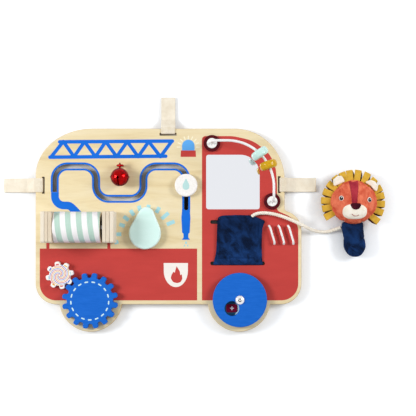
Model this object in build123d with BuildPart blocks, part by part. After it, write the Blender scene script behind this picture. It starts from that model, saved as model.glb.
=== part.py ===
"""Wooden busy board for a baby, lying face up, in millimetres.

The origin is the centre of the board's back face. +X runs to the right, +Y towards the
top edge and +Z out of the face.
"""
import os
from math import acos, cos, degrees, radians, sin, tan

from build123d import *

os.makedirs("parts", exist_ok=True)

# ---------------------------------------------------------------- common clearances
running_fit = 0.1        # radial, a shaft turning in its bore
fixed_fit = 0.06         # radial, a screw or rod that stays where it is
face_gap = 0.3           # between two faces that move past each other
cloth_gap = 0.2          # between cloth and what it lies on

# ---------------------------------------------------------------- board
board_width = 377.0
board_top = 144.8
board_bottom = -104.5    # the straight lower edge between the wheel arches
face_thickness = 9.0
cover_thickness = 3.0
edge_round = 1.2
bonnet_length = 23.9     # from the upright edge of the cab to the board's right end
rear_roof_run, rear_roof_drop = 80.0, 67.0
front_roof_run, front_roof_drop = 71.0, 72.0
bonnet_radius = 28.0
bonnet_y = 0.5
bonnet_notch_round = 5.0
lower_corner = 29.5
wheel_arch_radius = 44.3
rear_pocket_depth = 4.4  # pockets behind the face board, closed by the cover

# the rear of the vehicle keeps its places from the left end, and the cab from the right
board_left = -board_width / 2
board_right = board_width / 2
cab_right = board_right - bonnet_length
left_wheel = (board_left + 77.9, -99.0)
right_wheel = (board_right - 88.6, -99.0)
face_z = cover_thickness + face_thickness
pocket_roof = cover_thickness + rear_pocket_depth

# ---------------------------------------------------------------- fixings behind the face
washer_thickness = 2.0
head_height = 1.4
head_radius = 3.2
shank_radius = 1.5
shank_length = 8.0
washer_top = pocket_roof - face_gap
washer_bottom = washer_top - washer_thickness
head_bottom = washer_bottom - head_height

cover_screw_head_radius = 3.0
cover_screw_length = 9.0
cover_screw_sink = 0.3
cover_screws_at = [
    (board_left + 8.5, 40.0), (board_left + 10.5, -70.0), (board_left + 58.5, 128.0),
    (board_left + 113.5, -45.0), (board_right - 12.5, -60.0), (board_right - 12.5, -5.0),
    (board_right - 50.5, 108.0), (board_right - 98.5, 136.0),
    (-60.0, -95.0), (40.0, -95.0), (-40.0, 136.0), (30.0, -45.0), (45.0, 30.0),
]

# ---------------------------------------------------------------- straps
strap_width = 20.0
strap_thickness = 1.4
strap_slot_width = 4.0
strap_slot_length = 24.0
strap_bend = 1.9
strap_past_edge = 2.0    # level run beyond the board's edge
strap_landing = 14.0     # beyond the edge, where the two layers come together
strap_relief_depth = 1.8
strap_floor_gap = 0.1
patch_thickness = 1.2
patch_length = 24.0
patch_width = 16.0
patch_end_gap = 2.5
left_strap_y, right_strap_y, top_strap_x = 64.5, 65.3, -0.7
left_strap_inset = 10.8      # from the slot's middle to the board's edge
right_strap_inset = 7.6
top_strap_inset = 8.0
left_strap_beyond = 46.8     # from the board's edge to the loop's far end
right_strap_beyond = 45.9
top_strap_beyond = 45.4

# ---------------------------------------------------------------- mirror
mirror_left, mirror_right = board_right - 135.2, board_right - 59.3
mirror_bottom, mirror_top = 30.4, 107.7
mirror_thickness = 1.8
mirror_small_corner = 3.5
mirror_large_corner = 27.5

# ---------------------------------------------------------------- roller
roller_axis_y = 4.7
roller_clearance = 2.2       # between the roller and the face
roller_left, roller_right = board_left + 30.2, board_left + 95.9
roller_edge_round = 1.0
axle_radius = 3.0
bracket_thickness = 5.0
bracket_width = 43.5
bracket_corner = 3.0
bracket_outer_left, bracket_outer_right = board_left + 14.5, board_left + 114.7
clack_thickness = 4.8
clack_gap = 0.35
clack_corner = 3.5
clack_edge_round = 0.6
bracket_screw_spacing = 26.0
bracket_screw_length = 14.0
bracket_skin = 1.2       # wood left outside the axle's blind seat
roller_radius = bracket_width / 2
roller_axis_height = roller_radius + roller_clearance
bracket_height = roller_axis_height + bracket_width / 2

# ---------------------------------------------------------------- bell
bell_centre = (board_left + 120.5, 75.2)
bell_radius = 12.9
bell_wall = 0.8
bell_flange_radius = 13.7
bell_flange_thickness = 0.9
bell_tilt = 11.0
bell_reach = 17.0        # from the bell's centre to the crown it swings on
bell_turn = -8.0
bell_hole_radius = 1.9
bell_slot_width = 1.5
bell_eye_radius = 3.6
bell_eye_hole = 1.9
bell_eye_thickness = 1.6
bell_neck_radius = 1.6
bell_hole_drop = 3.2     # hole centres below the flange's plane
bell_ball_radius = 3.5
staple_wire_radius = 1.15
staple_spread = 7.2
staple_bend = 2.4

# ---------------------------------------------------------------- bead arch
wire_radius = 1.75
wire_height = 44.0       # centre line of the wire above the face
wire_corner = 64.0
wire_post_bend = 9.0
wire_left_post = (board_right - 127.0, 123.8)
wire_right_post = (board_right - 41.7, 41.6)
base_radius, base_thickness = 11.7, 3.0
cap_radius, cap_thickness = 7.2, 2.4
cap_round = 0.8
nut_radius, nut_thickness = 4.6, 3.0
bead_radius = 12.2
bead_thickness = 11.4
bead_bore_radius = 3.9
bead_round = 4.2
mint_bead_angle, mint_bead_tilt = 46.1, -12.0
ochre_bead_angle, ochre_bead_tilt = 28.3, -9.0

# ---------------------------------------------------------------- slider and its maze
maze_corner = 18.0
maze_width = 6.0
maze_track_width = 17.0
maze_left, maze_right = board_left + 27.1, 25.0
maze_top, maze_dip = 91.2, 45.3
maze_dip_left, maze_dip_right = board_left + 85.7, -35.6
maze_start_y, maze_end_y = 55.1, 32.0
slider_y = 64.2
knob_radius, knob_thickness, knob_round = 16.1, 7.0, 2.0
knob_lift = 0.5
stem_radius = 2.6
stem_seat = 4.0          # depth of the blind hole in the knob
stem_shank_radius = 1.2
tail_radius = 7.0
tail_head_radius = 2.8

# ---------------------------------------------------------------- gears, disc and drop
spacer_thickness = 1.0
spinner_thickness = 8.0
spinner_round = 1.0
gear_module = 4.65
large_teeth, small_teeth = 16, 8
large_outer, large_root = 39.4, 32.6
small_outer, small_root = 19.7, 14.8
mesh_angle = 139.7       # from the large gear's centre to the small one's
tooth_tip_share, tooth_root_share = 0.44, 0.70
tooth_tip_round, tooth_root_round = 2.6, 1.8
large_tooth_angle, small_tooth_angle = 125.05, -33.2
large_dowel, small_dowel = 5.0, 4.0
dowel_seat = 5.0         # depth of the blind hole in a turning piece
large_washer, small_washer = 9.0, 7.0
large_spacer, small_spacer = 12.0, 8.0

disc_centre = (board_right - 87.6, -97.8)
disc_radius = 38.3
disc_spacer = 5.4
peep_radius = 10.5
peep_at = (-11.0, -12.1)
bolt_radius = 3.6
bolt_head_radius, bolt_head_height = 6.9, 3.6
tee_nut_radius, tee_nut_thickness = 8.0, 2.0

drop_centre = (board_left + 155.4, -3.6)
drop_radius = 22.7
drop_nose_radius = 11.0
drop_nose_reach = 26.2
drop_lean_angle = -4.5
drop_round = 2.6

# ---------------------------------------------------------------- soft pieces
elastic_radius = 1.65
elastic_height = 5.2
elastic_bend = 3.6
elastic_top_y, elastic_bottom_y = 7.0, -18.6
elastic_lean = 7.6
elastic_first_x, elastic_pitch = board_right - 46.1, 13.4
knot_radius = 3.4
knot_height = 3.0
knot_round = 1.0
knot_pocket_radius = 4.2

pocket_slot_left, pocket_slot_right = board_right - 129.4, board_right - 51.9
pocket_slot_height = 5.4
pocket_slot_top_y, pocket_slot_bottom_y = 12.4, -46.3
pocket_left, pocket_right = board_right - 122.5, board_right - 55.9
pocket_top, pocket_bottom = 22.3, -48.6
pocket_depth = 11.6
pocket_wall = 1.6
pocket_round = 3.0
cord_notch = (board_right - 83.5, board_right - 67.5)  # in the back panel, for the cord
cord_notch_bottom = 8.4
tab_thickness = 3.6
tab_inset = 2.0
tab_grip = 1.0           # how far the hems reach below the pockets' roof
right_tab_end = board_right - 55.5
bar_width, bar_thickness = 8.0, 2.4
bar_end_gap = 1.5

cord_radius = 2.6
cord_knot_radius = 4.6
cord_knot_height = 3.6
# route from the knot side of the pocket's upper slot to the lion's neck
cord_route = [
    (board_right - 74.5, 12.4, 4.4),
    (board_right - 74.5, 12.4, 15.2),
    (board_right - 72.5, 17.0, 19.2),
    (board_right - 68.1, 22.8, 17.4),
    (board_right - 57.9, 25.4, 15.4),
    (board_right - 42.5, 24.5, 15.1),
    (board_right - 27.3, 20.3, 15.2),
    (board_right - 12.2, 14.2, 16.2),
    (board_right + 1.0, 7.8, 17.4),
    (board_right + 12.1, 2.2, 10.4),
    (board_right + 24.1, -1.5, 4.6),
    (board_right + 36.5, -1.9, 3.2),
    (board_right + 47.1, 1.2, 5.4),
    (board_right + 56.1, 4.6, 10.8),
]

lion_centre = (board_right + 73.7, 40.2)
lion_lift = 0.4          # between the plush and the floor
head_width_radius = 32.8
head_half_thickness = 16.5
mane_inner, mane_band = 33.2, 36.5
mane_thickness = 2.6
mane_tabs = 16
mane_start_angle, mane_end_angle = -38.0, 218.0
tab_root_radius, tab_root_at = 4.3, 37.3
tab_tip_radius, tab_tip_at = 5.0, 40.8
ear_radius, ear_thickness, ear_round = 8.6, 6.0, 2.4
ear_reach = 35.6
ear_angles = (46.0, 126.0)
ear_lift = 0.4           # above the mane
ear_hollow = 33.1        # the ears end here, beside the head
muzzle_drop = 13.0       # below the middle of the head
muzzle_half_width, muzzle_half_height = 17.0, 10.6
muzzle_thickness = 1.8
handle_neck = (board_right + 73.1, 1.5)
handle_neck_width, handle_neck_radius = 30.0, 9.5
handle_end = (board_right + 77.1, -21.4)
handle_end_radius = 15.2
handle_thickness = 24.0
handle_round = 8.0


def save(piece, name):
    """Label a finished piece and write it as its own STEP file."""
    piece.part.label = name
    export_step(piece.part, f"parts/{name}.step")


# ================================================================ board
bonnet_turn = degrees(acos((cab_right - (board_right - bonnet_radius)) / bonnet_radius))
bonnet_meets_cab = bonnet_y + bonnet_radius * sin(radians(bonnet_turn))

with BuildSketch() as board_outline:
    with BuildLine():
        Line((board_left, board_bottom + lower_corner), (board_left, board_top - rear_roof_drop))
        EllipticalCenterArc(
            (board_left + rear_roof_run, board_top - rear_roof_drop),
            rear_roof_run, rear_roof_drop, 90, arc_size=90,
        )
        Line((board_left + rear_roof_run, board_top), (cab_right - front_roof_run, board_top))
        EllipticalCenterArc(
            (cab_right - front_roof_run, board_top - front_roof_drop),
            front_roof_run, front_roof_drop, 0, arc_size=90,
        )
        Line((cab_right, board_top - front_roof_drop), (cab_right, bonnet_meets_cab))
        CenterArc((board_right - bonnet_radius, bonnet_y), bonnet_radius, 0, bonnet_turn)
        Line((board_right, bonnet_y), (board_right, board_bottom + lower_corner))
        CenterArc(
            (board_right - lower_corner, board_bottom + lower_corner), lower_corner, 270, 90
        )
        Line((board_right - lower_corner, board_bottom), (board_left + lower_corner, board_bottom))
        CenterArc(
            (board_left + lower_corner, board_bottom + lower_corner), lower_corner, 180, 90
        )
    make_face()
    notch = board_outline.vertices().sort_by_distance((cab_right, bonnet_meets_cab))[0]
    fillet(notch, bonnet_notch_round)
    with Locations(left_wheel, right_wheel):
        Circle(wheel_arch_radius)

# the maze's centre line: along the roof, down into a dip, up again and down the right leg
maze_points = [
    (maze_left, maze_start_y),
    (maze_left, maze_top),
    (maze_dip_left, maze_top),
    (maze_dip_left, maze_dip),
    (maze_dip_right, maze_dip),
    (maze_dip_right, maze_top),
    (maze_right, maze_top),
    (maze_right, maze_end_y),
]
with BuildSketch() as maze_slot:
    with BuildLine():
        FilletPolyline(*maze_points, radius=maze_corner)
    trace(line_width=maze_width)
    with Locations(maze_points[-1]):
        Circle(maze_width / 2)
with BuildSketch() as maze_track:
    with BuildLine():
        FilletPolyline(*maze_points, radius=maze_corner)
    trace(line_width=maze_track_width)
    with Locations(maze_points[0], maze_points[-1]):
        Circle(maze_track_width / 2)

with BuildSketch() as mirror_outline:
    with Locations(((mirror_left + mirror_right) / 2, (mirror_bottom + mirror_top) / 2)):
        Rectangle(mirror_right - mirror_left, mirror_top - mirror_bottom)
    upper_right, *other_corners = mirror_outline.vertices().sort_by_distance(
        (mirror_right, mirror_top)
    )
    fillet(other_corners, mirror_small_corner)
    fillet(
        mirror_outline.vertices().sort_by_distance(upper_right)[0],
        mirror_large_corner,
    )

# for each strap its slot's middle, its outward direction and its reach from the slot
straps = [
    ((board_left + left_strap_inset, left_strap_y), 180, left_strap_inset + left_strap_beyond),
    ((cab_right - right_strap_inset, right_strap_y), 0, right_strap_inset + right_strap_beyond),
    ((top_strap_x, board_top - top_strap_inset), 90, top_strap_inset + top_strap_beyond),
]

with BuildSketch() as strap_slots:
    for (slot_x, slot_y), heading, reach in straps:
        with Locations(Location((slot_x, slot_y, 0), (0, 0, heading))):
            Rectangle(strap_slot_width, strap_slot_length)

small_gear_distance = gear_module * (large_teeth + small_teeth) / 2
small_gear_centre = (
    left_wheel[0] + small_gear_distance * cos(radians(mesh_angle)),
    left_wheel[1] + small_gear_distance * sin(radians(mesh_angle)),
)

bell_axis = Vector(0, cos(radians(bell_tilt)), -sin(radians(bell_tilt)))
bell_height = face_z + bell_flange_radius + face_gap
bell_middle = Vector(bell_centre[0], bell_centre[1], bell_height)
bell_pivot = bell_middle + bell_axis * bell_reach
staple_legs = [(bell_pivot.X - staple_spread / 2, bell_pivot.Y),
               (bell_pivot.X + staple_spread / 2, bell_pivot.Y)]

elastics_x = [elastic_first_x + elastic_pitch * i for i in range(3)]
elastic_ends = [(x, elastic_top_y) for x in elastics_x]
elastic_ends += [(x + elastic_lean, elastic_bottom_y) for x in elastics_x]

pocket_slot_length = pocket_slot_right - pocket_slot_left
pocket_slot_middle = (pocket_slot_left + pocket_slot_right) / 2
pocket_slots_at = [(pocket_slot_middle, pocket_slot_top_y),
                   (pocket_slot_middle, pocket_slot_bottom_y)]

bracket_inner_left = bracket_outer_left + bracket_thickness
bracket_inner_right = bracket_outer_right - bracket_thickness
bracket_middles = [bracket_outer_left + bracket_thickness / 2,
                   bracket_outer_right - bracket_thickness / 2]
bracket_screws_at = [
    (x, roller_axis_y + side * bracket_screw_spacing / 2)
    for x in bracket_middles for side in (-1, 1)
]

wire_posts = [wire_left_post, wire_right_post]

with BuildPart() as front_board:
    with BuildSketch(Plane.XY.offset(cover_thickness)):
        add(board_outline.sketch)
    extrude(amount=face_thickness)
    fillet(front_board.faces().sort_by(Axis.Z)[-1].edges(), edge_round)
    # through slots and bores
    with BuildSketch(Plane.XY.offset(face_z)):
        add(maze_slot.sketch)
        add(strap_slots.sketch)
        with Locations(pocket_slots_at):
            SlotOverall(pocket_slot_length, pocket_slot_height)
        with Locations(left_wheel):
            Circle(large_dowel)
        with Locations(small_gear_centre, drop_centre):
            Circle(small_dowel)
        with Locations(disc_centre):
            Circle(bolt_radius + fixed_fit)
        with Locations(wire_posts):
            Circle(wire_radius + fixed_fit)
        with Locations(elastic_ends):
            Circle(elastic_radius + fixed_fit)
        with Locations(staple_legs):
            Circle(staple_wire_radius + fixed_fit)
        with Locations(bracket_screws_at):
            Circle(shank_radius + fixed_fit)
    extrude(amount=-face_thickness, mode=Mode.SUBTRACT)
    # pockets behind
    with BuildSketch(Plane.XY.offset(cover_thickness)):
        add(maze_track.sketch)
        with Locations(left_wheel):
            Circle(large_washer + 1)
        with Locations(small_gear_centre, drop_centre):
            Circle(small_washer + 1)
        with Locations(disc_centre):
            Circle(tee_nut_radius + 1)
        with Locations(wire_posts):
            Circle(nut_radius + 1)
        with Locations(elastic_ends):
            Circle(knot_pocket_radius)
        with Locations(bracket_screws_at):
            Circle(head_radius + 0.5)
        with Locations(pocket_slots_at):
            Rectangle(pocket_slot_length, bar_width + 3)
    extrude(amount=rear_pocket_depth, mode=Mode.SUBTRACT)
    # recess for the mirror
    with BuildSketch(Plane.XY.offset(face_z)):
        add(mirror_outline.sketch)
        offset(amount=fixed_fit)
    extrude(amount=-mirror_thickness, mode=Mode.SUBTRACT)
    # pilot holes for the cover's screws
    with BuildSketch(Plane.XY.offset(cover_thickness)):
        with Locations(cover_screws_at):
            Circle(shank_radius + fixed_fit)
    extrude(amount=cover_screw_length - cover_thickness, mode=Mode.SUBTRACT)
save(front_board, "front_board")


def save_copies(shape, points, name):
    """Put a copy of one shape at each point and save them as one group."""
    with BuildPart() as group:
        with Locations(*points):
            add(shape)
    save(group, name)


def turned(*profile):
    """A solid turned about the Z axis from (radius, height) points."""
    with BuildPart() as piece:
        with BuildSketch(Plane.XZ):
            with BuildLine():
                Polyline(*profile, close=True)
            make_face()
        revolve(axis=Axis.Z)
    return piece.part


def ring(radius, hole, bottom, height, rounding=0):
    """A flat ring about the Z axis, its outer top edge rounded."""
    with BuildPart() as piece:
        with BuildSketch(Plane.XY.offset(bottom)):
            Circle(radius)
            Circle(hole, mode=Mode.SUBTRACT)
        extrude(amount=height)
        if rounding:
            fillet(piece.faces().sort_by(Axis.Z)[-1].outer_wire().edges(), rounding)
    return piece.part


def bent_wire(points, bends, radius):
    """A round wire along straight runs joined by bends."""
    with BuildPart() as wire:
        with BuildLine() as path:
            FilletPolyline(*points, radius=bends)
        with BuildSketch(Plane(origin=path.wire() @ 0, z_dir=path.wire() % 0)):
            Circle(radius)
        sweep(path=path.wire())
    return wire.part


with BuildPart() as rear_cover:
    with BuildSketch():
        add(board_outline.sketch)
    extrude(amount=cover_thickness)
    with BuildSketch():
        add(strap_slots.sketch)
    extrude(amount=cover_thickness, mode=Mode.SUBTRACT)
    # shallow reliefs, so that the straps pass under without lifting the board
    with BuildSketch():
        for (slot_x, slot_y), heading, reach in straps:
            with Locations(Location((slot_x, slot_y, 0), (0, 0, heading))):
                Rectangle(reach, strap_slot_length, align=(Align.MIN, Align.CENTER))
    extrude(amount=strap_relief_depth, mode=Mode.SUBTRACT)
    with Locations(*[Location((x, y, 0), (180, 0, 0)) for x, y in cover_screws_at]):
        CounterSinkHole(
            shank_radius + fixed_fit,
            cover_screw_head_radius + cover_screw_sink + fixed_fit,
            depth=cover_thickness,
            counter_sink_angle=90,
        )
save(rear_cover, "rear_cover")

cone_top = cover_screw_sink + cover_screw_head_radius - shank_radius
cover_screw = turned(
    (0, cover_screw_sink),
    (cover_screw_head_radius, cover_screw_sink),
    (shank_radius, cone_top),
    (shank_radius, cover_screw_length - face_gap),
    (0, cover_screw_length - face_gap),
)
save_copies(cover_screw, cover_screws_at, "cover_screws")

# ================================================================ mirror
with BuildPart() as mirror:
    with BuildSketch(Plane.XY.offset(face_z - mirror_thickness)):
        add(mirror_outline.sketch)
    extrude(amount=mirror_thickness)
save(mirror, "mirror")

# ================================================================ straps
# each is a loop of webbing: down through its slot, under the rim in the cover's relief,
# over the rim above, and outwards with hook-and-loop between its two layers
strap_names = ["strap_left", "strap_right", "strap_top"]
strap_insets = [left_strap_inset, right_strap_inset, top_strap_inset]
layered_height = strap_floor_gap + 2 * strap_thickness + patch_thickness
strap_top_z = face_z + cloth_gap + strap_thickness
strap_inside = strap_slot_width / 2 - cloth_gap - strap_thickness

for name, edge, ((slot_x, slot_y), heading, reach) in zip(strap_names, strap_insets, straps):
    outward = (cos(radians(heading)), sin(radians(heading)), 0)
    across = (outward[1], -outward[0], 0)
    strap_plane = Plane(origin=(slot_x, slot_y, 0), x_dir=outward, z_dir=across)
    with BuildPart() as strap:
        with BuildSketch(strap_plane):
            with BuildLine():
                FilletPolyline(
                    (strap_inside, strap_floor_gap),
                    (reach, strap_floor_gap),
                    (reach, layered_height),
                    (edge + strap_landing, layered_height),
                    (edge + strap_past_edge, strap_top_z),
                    (strap_inside, strap_top_z),
                    radius=strap_bend,
                    close=True,
                )
            make_face()
            offset(amount=-strap_thickness, mode=Mode.SUBTRACT)
        extrude(amount=strap_width / 2, both=True)
    save(strap, name)

with BuildPart() as strap_patches:
    with BuildSketch(Plane.XY.offset(strap_floor_gap + strap_thickness)):
        for (slot_x, slot_y), heading, reach in straps:
            middle = reach - patch_end_gap - patch_length / 2
            x = slot_x + middle * cos(radians(heading))
            y = slot_y + middle * sin(radians(heading))
            with Locations(Location((x, y, 0), (0, 0, heading))):
                Rectangle(patch_length, patch_width)
    extrude(amount=patch_thickness)
save(strap_patches, "strap_patches")

# ================================================================ roller
axis_z = face_z + roller_axis_height
bracket_bores = [bracket_outer_left + bracket_skin, bracket_inner_right]
bracket_names = ["roller_bracket_left", "roller_bracket_right"]
bracket_lefts = [bracket_outer_left, bracket_inner_right]
bracket_bore_depth = bracket_thickness - bracket_skin

for i, name in enumerate(bracket_names):
    with BuildPart() as bracket:
        with BuildSketch(Plane.YZ.offset(bracket_lefts[i])):
            with Locations((roller_axis_y, face_z + bracket_height / 2)):
                Rectangle(bracket_width, bracket_height)
        extrude(amount=bracket_thickness)
        fillet(bracket.edges().filter_by(Axis.X).group_by(Axis.Z)[-1], bracket_corner)
        with BuildSketch(Plane.YZ.offset(bracket_bores[i])):
            with Locations((roller_axis_y, axis_z)):
                Circle(axle_radius + fixed_fit)
        extrude(amount=bracket_bore_depth, mode=Mode.SUBTRACT)
        with BuildSketch(Plane.XY.offset(face_z)):
            with Locations(*bracket_screws_at[2 * i:2 * i + 2]):
                Circle(shank_radius + fixed_fit)
        extrude(amount=bracket_screw_length, mode=Mode.SUBTRACT)
    save(bracket, name)

bracket_screw = turned(
    (0, pocket_roof - head_height),
    (head_radius, pocket_roof - head_height),
    (head_radius, pocket_roof),
    (shank_radius, pocket_roof),
    (shank_radius, face_z + bracket_screw_length - face_gap),
    (0, face_z + bracket_screw_length - face_gap),
)
save_copies(bracket_screw, bracket_screws_at, "bracket_screws")


def across_roller(left, length, outline, rounding):
    """A piece along the roller's axis, bored to turn on the axle."""
    with BuildPart() as piece:
        with BuildSketch(Plane.YZ.offset(left)):
            with Locations((roller_axis_y, axis_z)):
                add(outline)
        extrude(amount=length)
        ends = piece.faces().filter_by(Axis.X)
        fillet(ends.edges(), rounding)
        with BuildSketch(Plane.YZ.offset(left)):
            with Locations((roller_axis_y, axis_z)):
                Circle(axle_radius + running_fit)
        extrude(amount=length, mode=Mode.SUBTRACT)
    return piece


with BuildPart() as roller_axle:
    with BuildSketch(Plane.YZ.offset(bracket_bores[0] + face_gap)):
        with Locations((roller_axis_y, axis_z)):
            Circle(axle_radius)
    axle_end = bracket_outer_right - bracket_skin - face_gap
    extrude(amount=axle_end - bracket_bores[0] - face_gap)
save(roller_axle, "roller_axle")

with BuildSketch() as roller_outline:
    Circle(roller_radius)
with BuildSketch() as clack_outline:
    RectangleRounded(bracket_width, bracket_width, clack_corner)
save(
    across_roller(
        roller_left, roller_right - roller_left, roller_outline.sketch, roller_edge_round
    ),
    "striped_roller",
)
clack_step = clack_thickness + clack_gap
clack_lefts = {
    "clack_left_outer": bracket_inner_left + clack_gap,
    "clack_left_inner": bracket_inner_left + clack_gap + clack_step,
    "clack_right_inner": bracket_inner_right - 2 * clack_step,
    "clack_right_outer": bracket_inner_right - clack_step,
}
for name, left in clack_lefts.items():
    save(across_roller(left, clack_thickness, clack_outline.sketch, clack_edge_round), name)

# ================================================================ bell
bell_plane = Plane(origin=bell_middle, x_dir=(1, 0, 0), z_dir=bell_axis)
half_flange = bell_flange_thickness / 2


def bell_half(side):
    """Half of the bell's shell with its half of the flange, on one side of the seam."""
    with BuildPart() as half:
        with BuildSketch(Plane.XZ):
            Circle(bell_radius)
            with Locations((0, side * half_flange / 2)):
                Rectangle(2 * bell_flange_radius, half_flange)
            Circle(bell_radius - bell_wall, mode=Mode.SUBTRACT)
            with Locations((0, -side * bell_flange_radius / 2)):
                Rectangle(2 * bell_flange_radius, bell_flange_radius, mode=Mode.SUBTRACT)
            with Locations((-bell_flange_radius / 2, 0)):
                Rectangle(bell_flange_radius, 2 * bell_flange_radius, mode=Mode.SUBTRACT)
        revolve(axis=Axis.Z)
    return half.part


with BuildPart(bell_plane) as bell_upper:
    add(bell_half(1))
    with Locations((0, 0, bell_radius - bell_wall / 2)):
        neck_length = bell_reach - bell_eye_hole - bell_radius
        Cylinder(bell_neck_radius, neck_length, align=(Align.CENTER, Align.CENTER, Align.MIN))
    with Locations(Location((0, 0, bell_reach), (0, 90, 0))):
        Cylinder(bell_eye_radius, bell_eye_thickness)
        Cylinder(bell_eye_hole, bell_eye_thickness, mode=Mode.SUBTRACT)
save(bell_upper, "bell_upper")

with BuildPart(bell_plane) as bell_lower:
    add(bell_half(-1))
    slot_run = bell_radius - bell_hole_drop
    for quarter in range(2):
        with Locations(Location((0, 0, -bell_hole_drop), (0, 0, bell_turn + 90 * quarter))):
            Box(
                2 * bell_flange_radius, bell_slot_width, slot_run,
                align=(Align.CENTER, Align.CENTER, Align.MAX), mode=Mode.SUBTRACT,
            )
            Cylinder(
                bell_hole_radius, 2 * bell_flange_radius,
                rotation=(0, 90, 0), mode=Mode.SUBTRACT,
            )
save(bell_lower, "bell_lower")

with BuildPart() as bell_ball:
    ball_drop = bell_radius - bell_wall - bell_ball_radius - face_gap
    with Locations(bell_middle - Vector(0, 0, ball_drop)):
        Sphere(bell_ball_radius)
save(bell_ball, "bell_ball")

staple_points = [
    (staple_legs[0][0], bell_pivot.Y, head_bottom + 1),
    (staple_legs[0][0], bell_pivot.Y, bell_pivot.Z),
    (staple_legs[1][0], bell_pivot.Y, bell_pivot.Z),
    (staple_legs[1][0], bell_pivot.Y, head_bottom + 1),
]
with BuildPart() as bell_staple:
    add(bent_wire(staple_points, staple_bend, staple_wire_radius))
save(bell_staple, "bell_staple")

# ================================================================ bead arch
wire_z = face_z + wire_height
wire_end = pocket_roof - nut_thickness - face_gap
arch_points = [
    (*wire_left_post, wire_end),
    (*wire_left_post, wire_z),
    (wire_right_post[0], wire_left_post[1], wire_z),
    (*wire_right_post, wire_z),
    (*wire_right_post, wire_end),
]
with BuildPart() as bead_wire:
    add(bent_wire(arch_points, [wire_post_bend, wire_corner, wire_post_bend], wire_radius))
save(bead_wire, "bead_wire")

wire_bore = wire_radius + fixed_fit
save_copies(ring(base_radius, wire_bore, face_z, base_thickness), wire_posts, "wire_bases")
save_copies(
    ring(cap_radius, wire_bore, face_z + base_thickness, cap_thickness, cap_round),
    wire_posts,
    "wire_caps",
)
save_copies(
    ring(nut_radius, wire_bore, pocket_roof - nut_thickness, nut_thickness),
    wire_posts,
    "wire_nuts",
)

arch_centre = (wire_right_post[0] - wire_corner, wire_left_post[1] - wire_corner)
beads = {
    "bead_mint": (mint_bead_angle, mint_bead_tilt),
    "bead_ochre": (ochre_bead_angle, ochre_bead_tilt),
}
for name, (angle, tilt) in beads.items():
    place = Vector(
        arch_centre[0] + wire_corner * cos(radians(angle)),
        arch_centre[1] + wire_corner * sin(radians(angle)),
        wire_z,
    )
    along = Vector(-sin(radians(angle + tilt)), cos(radians(angle + tilt)), 0)
    with BuildPart(Plane(origin=place, z_dir=along)) as bead:
        Cylinder(bead_radius, bead_thickness)
        fillet(bead.edges(), bead_round)
        Cylinder(bead_bore_radius, bead_thickness, mode=Mode.SUBTRACT)
    save(bead, name)

# ================================================================ slider
knob_bottom = face_z + knob_lift
stem_top = knob_bottom + stem_seat - face_gap
slider_at = (maze_right, slider_y)


def knob(radius, bottom, height, rounding, seat_radius, seat_depth):
    """A round wooden knob with a blind seat for its stem underneath."""
    with BuildPart() as piece:
        with BuildSketch(Plane.XY.offset(bottom)):
            Circle(radius)
        extrude(amount=height)
        fillet(piece.edges(), rounding)
        with BuildSketch(Plane.XY.offset(bottom)):
            Circle(seat_radius)
        extrude(amount=seat_depth, mode=Mode.SUBTRACT)
    return piece.part


def peg(radius, bottom, top, pilot_radius, pilot_depth):
    """A round peg with a pilot hole for a screw in its lower end."""
    with BuildPart() as piece:
        with BuildSketch(Plane.XY.offset(bottom)):
            Circle(radius)
        extrude(amount=top - bottom)
        with BuildSketch(Plane.XY.offset(bottom)):
            Circle(pilot_radius)
        extrude(amount=pilot_depth, mode=Mode.SUBTRACT)
    return piece.part


def pan_screw(head, shank, length):
    """A screw driven upwards through a washer behind the face."""
    return turned(
        (0, head_bottom),
        (head, head_bottom),
        (head, washer_bottom),
        (shank, washer_bottom),
        (shank, washer_bottom + length),
        (0, washer_bottom + length),
    )


pilot_depth = shank_length - washer_thickness + face_gap

slider_pieces = {
    "slider_knob": knob(
        knob_radius, knob_bottom, knob_thickness, knob_round, stem_radius + fixed_fit, stem_seat
    ),
    "slider_stem": peg(
        stem_radius, washer_top, stem_top, stem_shank_radius + fixed_fit, pilot_depth
    ),
    "slider_tail": ring(
        tail_radius, stem_shank_radius + fixed_fit, washer_bottom, washer_thickness
    ),
    "slider_screw": pan_screw(tail_head_radius, stem_shank_radius, shank_length),
}
for name, shape in slider_pieces.items():
    save_copies(shape, [slider_at], name)

# ================================================================ gears
spinner_bottom = face_z + spacer_thickness + face_gap
spinner_top = spinner_bottom + spinner_thickness


def gear_profile(teeth, outer, root, first_tooth):
    """A gear's outline with straight-sided, well rounded teeth."""
    pitch = 360 / teeth
    tip_half = outer * sin(radians(pitch * tooth_tip_share / 2))
    root_half = root * sin(radians(pitch * tooth_root_share / 2))
    with BuildSketch() as profile:
        Circle(root)
        for i in range(teeth):
            with Locations(Location((0, 0, 0), (0, 0, first_tooth + i * pitch))):
                Polygon(
                    (root - root_half, -root_half),
                    (outer, -tip_half),
                    (outer, tip_half),
                    (root - root_half, root_half),
                    align=None,
                )
        corners = profile.vertices().group_by(lambda corner: round(Vector(corner).length, 1))
        fillet(corners[-1], tooth_tip_round)
        valleys = profile.vertices().group_by(lambda corner: round(Vector(corner).length, 1))[0]
        fillet(valleys, tooth_root_round)
    return profile.sketch


def spinner_peg(dowel, bottom_shank):
    """The dowel that a turning piece runs on, with its pilot hole below."""
    return peg(dowel, washer_top, spinner_bottom + dowel_seat - face_gap, bottom_shank, pilot_depth)


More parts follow.
